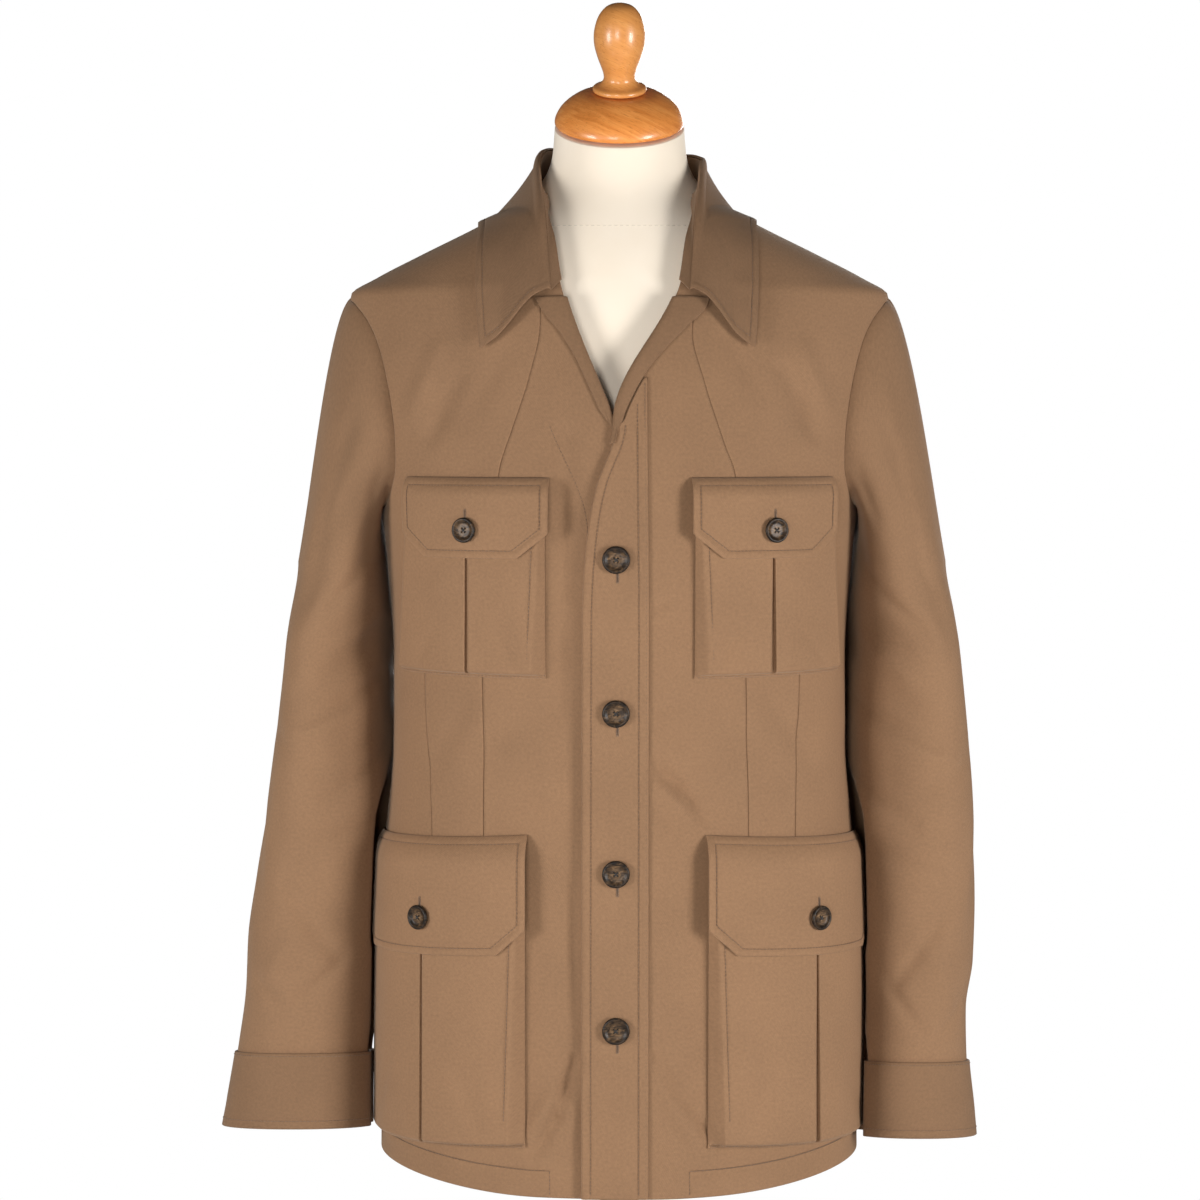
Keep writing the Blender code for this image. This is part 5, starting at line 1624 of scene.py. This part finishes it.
def sew_front(word, hand):
    """All rows of stitches on a front: edge, band, hem, facing, flaps and bags."""
    lines = []
    face, band_face = WALL + ON_FACE, FOOT_OUT + ON_FACE
    if hand > 0:
        edge_z = np.linspace(HEM_Z + 0.004, EDGE_TOP_Z, 120)
        lines.append(drawn(1, eased(UPPER_EDGE, edge_z)[0] + 0.0070, edge_z, band_face))
        seam_z = np.linspace(HEM_Z + 0.004, BAND_TOP_Z - 0.004, 120)
        seam = band_seam(seam_z)
        lines.append(drawn(1, seam - 0.0017, seam_z, band_face))
        lines.append(drawn(1, seam[:-3] - 0.0075, seam_z[:-3], band_face))
    else:
        under_z = np.linspace(1.130, EDGE_TOP_Z, 50)
        lines.append(drawn(-1, eased(UNDER_EDGE, under_z)[0] + 0.0500, under_z, face))
    facing = 0.0560 if hand < 0 else 0.0550
    s = np.linspace(facing, 0.262, 80)
    s = s[s < side(0.67)]
    lines.append(drawn(hand, s, hem(s, HEM_LINE), face))
    down = np.linspace(HEM_LINE, HEM_Z + 0.002, 12)
    lines.append(drawn(hand, facing + 0.0 * down, hem(facing, down), face))
    for size in (CHEST, HIPS[hand]):
        lines.append(drawn(hand, *flap_line(size, STITCH_IN), flap_face(size), size))
        low = size["bottom"] + 0.0016 - 0.0006
        z = np.linspace(size["flap_bottom"] + size["chamfer_h"], low, 40)
        lines.append(drawn(hand, size["foot_in"] + 0.0010 + 0.0 * z, z, band_face, size))
        ends = [size["foot_in"] + 0.002, size["foot_out"][1] - 0.002]
        lines.append(drawn(hand, ends, [low, low], band_face, size))

        def bag(s, z, size=size):
            """The height of stitches on the bag's face."""
            return FOOT_OUT + bag_depth(size, s, z) + ON_FACE

        down = (size["mouth"] - z) / (size["mouth"] - size["bottom"])
        lines.append(drawn(hand, between(size["face_in"], down)[:-5] + 0.0052, z[:-5], bag, size))
    return sewn(f"stitches_front_{word}", lines, THREAD_LOOK)


def sew_back():
    """The hem's stitches across the back, between the side lines."""
    behind = np.linspace(-0.262, 0.262, 160)
    behind = behind[np.abs(behind) < half_round(HEM_LINE) - side(HEM_LINE) - 0.001]
    z = hem(half_round(HEM_LINE) - np.abs(behind), HEM_LINE)
    s = other_way(behind, z)
    return sewn("stitches_back", [(torso(s, z, WALL + ON_FACE), bare_normal(s, z))], THREAD_LOOK)


def sew_cuff(word, hand):
    """A row of stitches round each edge of a cuff."""
    lines = []
    for level in (CUFF_TOP_Z - 0.0018, CUFF_END_Z + 0.0065):
        loop = cuff_points(hand, np.full((1, 1), level))[0]
        outward = unit((loop - loop.mean(axis=0)) * np.array([1.0, 1.0, 0.0]))
        points = loop + outward * (WALL + 0.00008)
        lines.append((np.concatenate([points, points[:1]]), np.concatenate([outward, outward[:1]])))
    return sewn(f"stitches_cuff_{word}", lines, THREAD_LOOK)


def fasten():
    """The buttons, the threads that hold them, and their buttonholes."""
    crosses, holes, slit_shadows = [], [], []

    def hole(hand, s, high, low, face, size=None):
        """A buttonhole with its slit drawn as a near-black line: a painted shadow in the cut."""
        holes.extend(buttonhole(hand, s, high, low, face, size))
        slit_shadows.append(drawn(hand, [s, s], [high, low], face, size))

    for i, level in enumerate(BUTTON_Z):
        matrix = on_front(1, BUTTON_S, level, FOOT_OUT + SEAM)
        button(f"horn_front_button_{i + 1}", FRONT_BUTTON_R, matrix, f"front_button_{i + 1}")
        crosses.extend(cross_thread(matrix))
        hole(1, BUTTON_S + 0.0012, level + 0.0020, level - 0.0172, FOOT_OUT + ON_FACE)
    for word, hand in HANDS:
        for place_name, size in (("chest", CHEST), ("hip", HIPS[hand])):
            s, z = size["pleat"], size["button_z"]
            out = FOOT_OUT + FLAP_GAP + BAND + SEAM + bag_depth(size, s, z)
            nudge = size["nudge"] if hand > 0 else 0.0
            matrix = on_front(hand, s - nudge, z - size["slope"] * (s - size["flap_in"]), out)
            button(f"horn_{place_name}_button_{word}", POCKET_BUTTON_R, matrix, f"{place_name}_button_{word}")
            crosses.extend(cross_thread(matrix))
            hole(hand, s, z + 0.0155, z - 0.0020, flap_face(size), size)
    # pitch, radius, share of the pitch, height
    sewn("threads_buttons", crosses, BUTTON_THREAD_AND_SLIT_SHADOW, 0.0041, 0.00030, 1.0, 0.00045)
    sewn("stitches_buttonholes", holes, THREAD_LOOK, 0.0026, 0.00022, 0.96, 0.00020)
    # the slits are near-black lines laid in the buttonholes: painted shadow
    sewn("slits_buttonholes", slit_shadows, BUTTON_THREAD_AND_SLIT_SHADOW, 0.30, 0.00016, 1.0, 0.00002)


for WORD, HAND in HANDS:
    sew_front(WORD, HAND)
    sew_cuff(WORD, HAND)
sew_back()
collar_stand()
collar_leaf()
fasten()


# ---------------------------------------------------------------- dress form and stand
FORM_FOOT_Z = 0.730
FORM_RINGS_Z = np.concatenate([np.linspace(FORM_FOOT_Z, 1.340, 90), np.linspace(1.344, 1.428, 36)])[:, None]
FORM_SEAM_Z = 1.4215
EASED_BELOW, EASED_ABOVE, EASINGS = 30, 36, 500  # rings about the neck's foot, and times they are eased


def form_cover():
    """The form's covered body and neck, closed at both ends, with stitches round the neck's foot."""
    angle = np.linspace(0.0, 2.0 * math.pi, 144, endpoint=False)[None, :]
    across, along = np.cos(angle), np.sin(angle)
    half, ahead, back, power = eased(TORSO, FORM_RINGS_Z)
    beside, before, behind = eased(FORM_INSET, FORM_RINGS_Z)
    depth = np.where(along < 0.0, ahead - before, back - behind)
    x, y = (half - beside) * bent(across, 2.0 / power), depth * bent(along, 2.0 / power)
    trunk = points_of(x, y, FORM_RINGS_Z)
    rows = np.linspace(0.0, len(FORM_NECK) - 1.0, 40)[:, None]
    level, half, ahead, back = eased(tuple((i, *r) for i, r in enumerate(FORM_NECK)), rows)
    depth = np.where(along < 0.0, ahead, back)
    lean = np.tan(NECK_TILT * rows / (len(FORM_NECK) - 1))
    y = depth * along
    grid = np.concatenate([trunk, points_of(half * across, y, level + y * lean)])
    low, high = len(trunk) - EASED_BELOW, len(trunk) + EASED_ABOVE
    ease = np.sin(math.pi * (np.arange(low, high) - low + 0.5) / (high - low))[:, None, None] ** 2
    for _ in range(EASINGS):
        even = (grid[low - 1:high - 1] + 2.0 * grid[low:high] + grid[low + 1:high + 1]) / 4.0
        grid[low:high] += ease * (even - grid[low:high])
    middle = grid[-1].mean(axis=0)
    lifted = np.array([0.0, -math.sin(NECK_TILT), math.cos(NECK_TILT)]) * 0.0003
    below = grid[-1:] + (grid[-2:-1] - grid[-1:]) * 0.15
    top = [middle + (grid[-1:] - middle) * k + lifted for k in (0.993, 0.90)]
    grid = np.concatenate([grid[:-1], below, grid[-1:], *top])
    rings, columns = grid.shape[:2]
    in_front = columns * 3 // 4
    level = int(np.argmin(np.abs(grid[:, in_front, 2] - FORM_SEAM_Z)))
    ring = np.concatenate([grid[level], grid[level, :1]])
    outward = unit(ring - ring[:-1].mean(axis=0))
    sewn("stitches_form_neck", [(ring, outward)], COVER_THREAD, 0.0046, 0.00022, 0.62, 0.00010)
    faces = grid_faces(rings, columns, True, False).tolist()
    verts = np.concatenate([grid.reshape(-1, 3), [[0, 0, FORM_FOOT_Z], grid[-1].mean(axis=0)]])
    last = (rings - 1) * columns
    for i in range(columns):
        j = (i + 1) % columns
        faces.append((len(verts) - 2, j, i))
        faces.append((len(verts) - 1, last + i, last + j))
    return place("cover_form_body", verts, faces, COVER_LOOK, cad_slot="form_cover", nodes=("form_body",))


form_cover()
LEAN = np.array(Matrix.Translation(CAP_SEAT) @ Matrix.Rotation(NECK_TILT, 4, "X"))
CAP = (
    # radius, height, as in the next tables
    (0.0, 0.0316),
    (0.0270, 0.0316),
    (0.0350, 0.0288),
    (0.0430, 0.0236),
    (0.0490, 0.0178),
    (0.0526, 0.0112),
    (0.0536, 0.0068),
    (0.0520, 0.0030),
    (0.0, 0.0030),
)
FINIAL = (
    (0.0, 0.1054),
    (0.0110, 0.1028),
    (0.0180, 0.0940),
    (0.0213, 0.0820),
    (0.0211, 0.0710),
    (0.0176, 0.0592),
    (0.0138, 0.0500),
    (0.0124, 0.0430),
    (0.0160, 0.0383),
    (0.0221, 0.0366),
    (0.0221, 0.0332),
    (0.0205, 0.0320),
    (0.0, 0.0320),
)
turned("wood_neck_cap", rounded(CAP, 5), 96, WOOD_LOOK, LEAN, nodes=("neck_cap",), cad_slot="beech")
turned("wood_finial", rounded(FINIAL, 5), 64, KNOB_LOOK, LEAN, nodes=("finial",), cad_slot="beech")
BASE = (
    (0.0, 0.0520),
    (0.0260, 0.0520),
    (0.0300, 0.0470),
    (0.0320, 0.0330),
    (0.0600, 0.0285),
    (0.1800, 0.0210),
    (0.1960, 0.0160),
    (0.2000, 0.0110),
    (0.2000, 0.0030),
    (0.1970, 0.0),
    (0.0, 0.0),
)
POLE = (
    (0.0, 0.7297),
    (0.0156, 0.7297),
    (0.0160, 0.7290),
    (0.0160, 0.0530),
    (0.0156, 0.0523),
    (0.0, 0.0523),
)
UPRIGHT = np.eye(4)
turned("paint_base", rounded(BASE, 4), 128, METAL_LOOK, UPRIGHT, nodes=("base",), cad_slot="painted_steel")
turned("paint_pole", POLE, 48, METAL_LOOK, UPRIGHT, nodes=("pole",), cad_slot="painted_steel")


# ---------------------------------------------------------------- floor, light and camera
def floor():
    """A pale disc just below the foot."""
    spot = (0.0, 0.0, -0.0005)
    bpy.ops.mesh.primitive_circle_add(vertices=128, radius=1.5, fill_type="NGON", location=spot)
    disc = bpy.context.object
    disc.name = "floor"
    look, _, _ = nodes_of("floor", Roughness=0.9, Base_Color=(0.68, 0.68, 0.68, 1.0))
    disc.data.materials.append(look)


def softbox(name, spot, aim, size, power):
    """A lamp with a flat oblong face that looks at its aim."""
    lamp = bpy.data.lights.new(name, "AREA")
    lamp.shape = "RECTANGLE"
    lamp.size, lamp.size_y = size
    lamp.energy = power
    made = bpy.data.objects.new(name, lamp)
    made.location = spot
    made.rotation_euler = (Vector(aim) - Vector(spot)).to_track_quat("-Z", "Y").to_euler()
    bpy.context.scene.collection.objects.link(made)


floor()
softbox("left", (-1.45, -1.15, 1.06), (0.0, -0.1, 1.05), (0.5, 0.7), 21.0)
softbox("right", (1.45, -1.15, 1.03), (0.0, -0.1, 1.02), (0.5, 0.7), 28.5)
softbox("front", (-0.4, -1.9, 1.00), (0.0, 0.0, 1.0), (0.5, 0.6), 12.5)
softbox("rear", (0.7, 2.7, 1.5), (0.0, 0.0, 1.0), (1.6, 1.6), 50.0)

# glow of the surroundings from straight below, 0, to straight above, 1
GLOW = ((0.0, 0.09), (0.44, 0.17), (0.49, 0.25), (0.56, 0.11), (0.75, 0.05), (1.0, 0.04))


def studio():
    """White to look at, and a dimmer light on the jacket from all round."""
    world = bpy.data.worlds.new("studio")
    world.use_nodes = True
    tree = world.node_tree
    seen = tree.nodes["Background"]
    settle(seen, dict(Strength=1.0, Color=(1.0, 1.0, 1.0, 1.0)))
    around = tree.nodes.new("ShaderNodeBackground")
    way = tree.nodes.new("ShaderNodeTexCoord").outputs["Generated"]
    height = maths(tree, "MULTIPLY_ADD", split(tree, way)[2], 0.5, 0.5)
    link(tree, ramp(tree, height, [(at, (glow, glow, glow)) for at, glow in GLOW]), around.inputs["Color"])
    ray = tree.nodes.new("ShaderNodeLightPath")
    both = tree.nodes.new("ShaderNodeMixShader")
    link(tree, ray.outputs["Is Camera Ray"], both.inputs["Fac"])
    link(tree, around.outputs["Background"], both.inputs[1])
    link(tree, seen.outputs["Background"], both.inputs[2])
    link(tree, both.outputs["Shader"], tree.nodes["World Output"].inputs["Surface"])
    bpy.context.scene.world = world


studio()
bpy.context.scene.view_settings.view_transform = "Standard"

SENSOR = 36.0
VIEW_PIXELS, FOCAL_PIXELS = 1200.0, 2564.0
PITCH_DOWN = math.radians(4.46)
LENS = bpy.data.cameras.new("camera")
LENS.sensor_width = SENSOR
LENS.lens = SENSOR * FOCAL_PIXELS / VIEW_PIXELS
CAMERA = bpy.data.objects.new("camera", LENS)
CAMERA.location = (-0.016, -2.13, 1.282)
CAMERA.rotation_euler = (math.radians(90.0) - PITCH_DOWN, 0.0, 0.0)
bpy.context.scene.collection.objects.link(CAMERA)
bpy.context.scene.camera = CAMERA
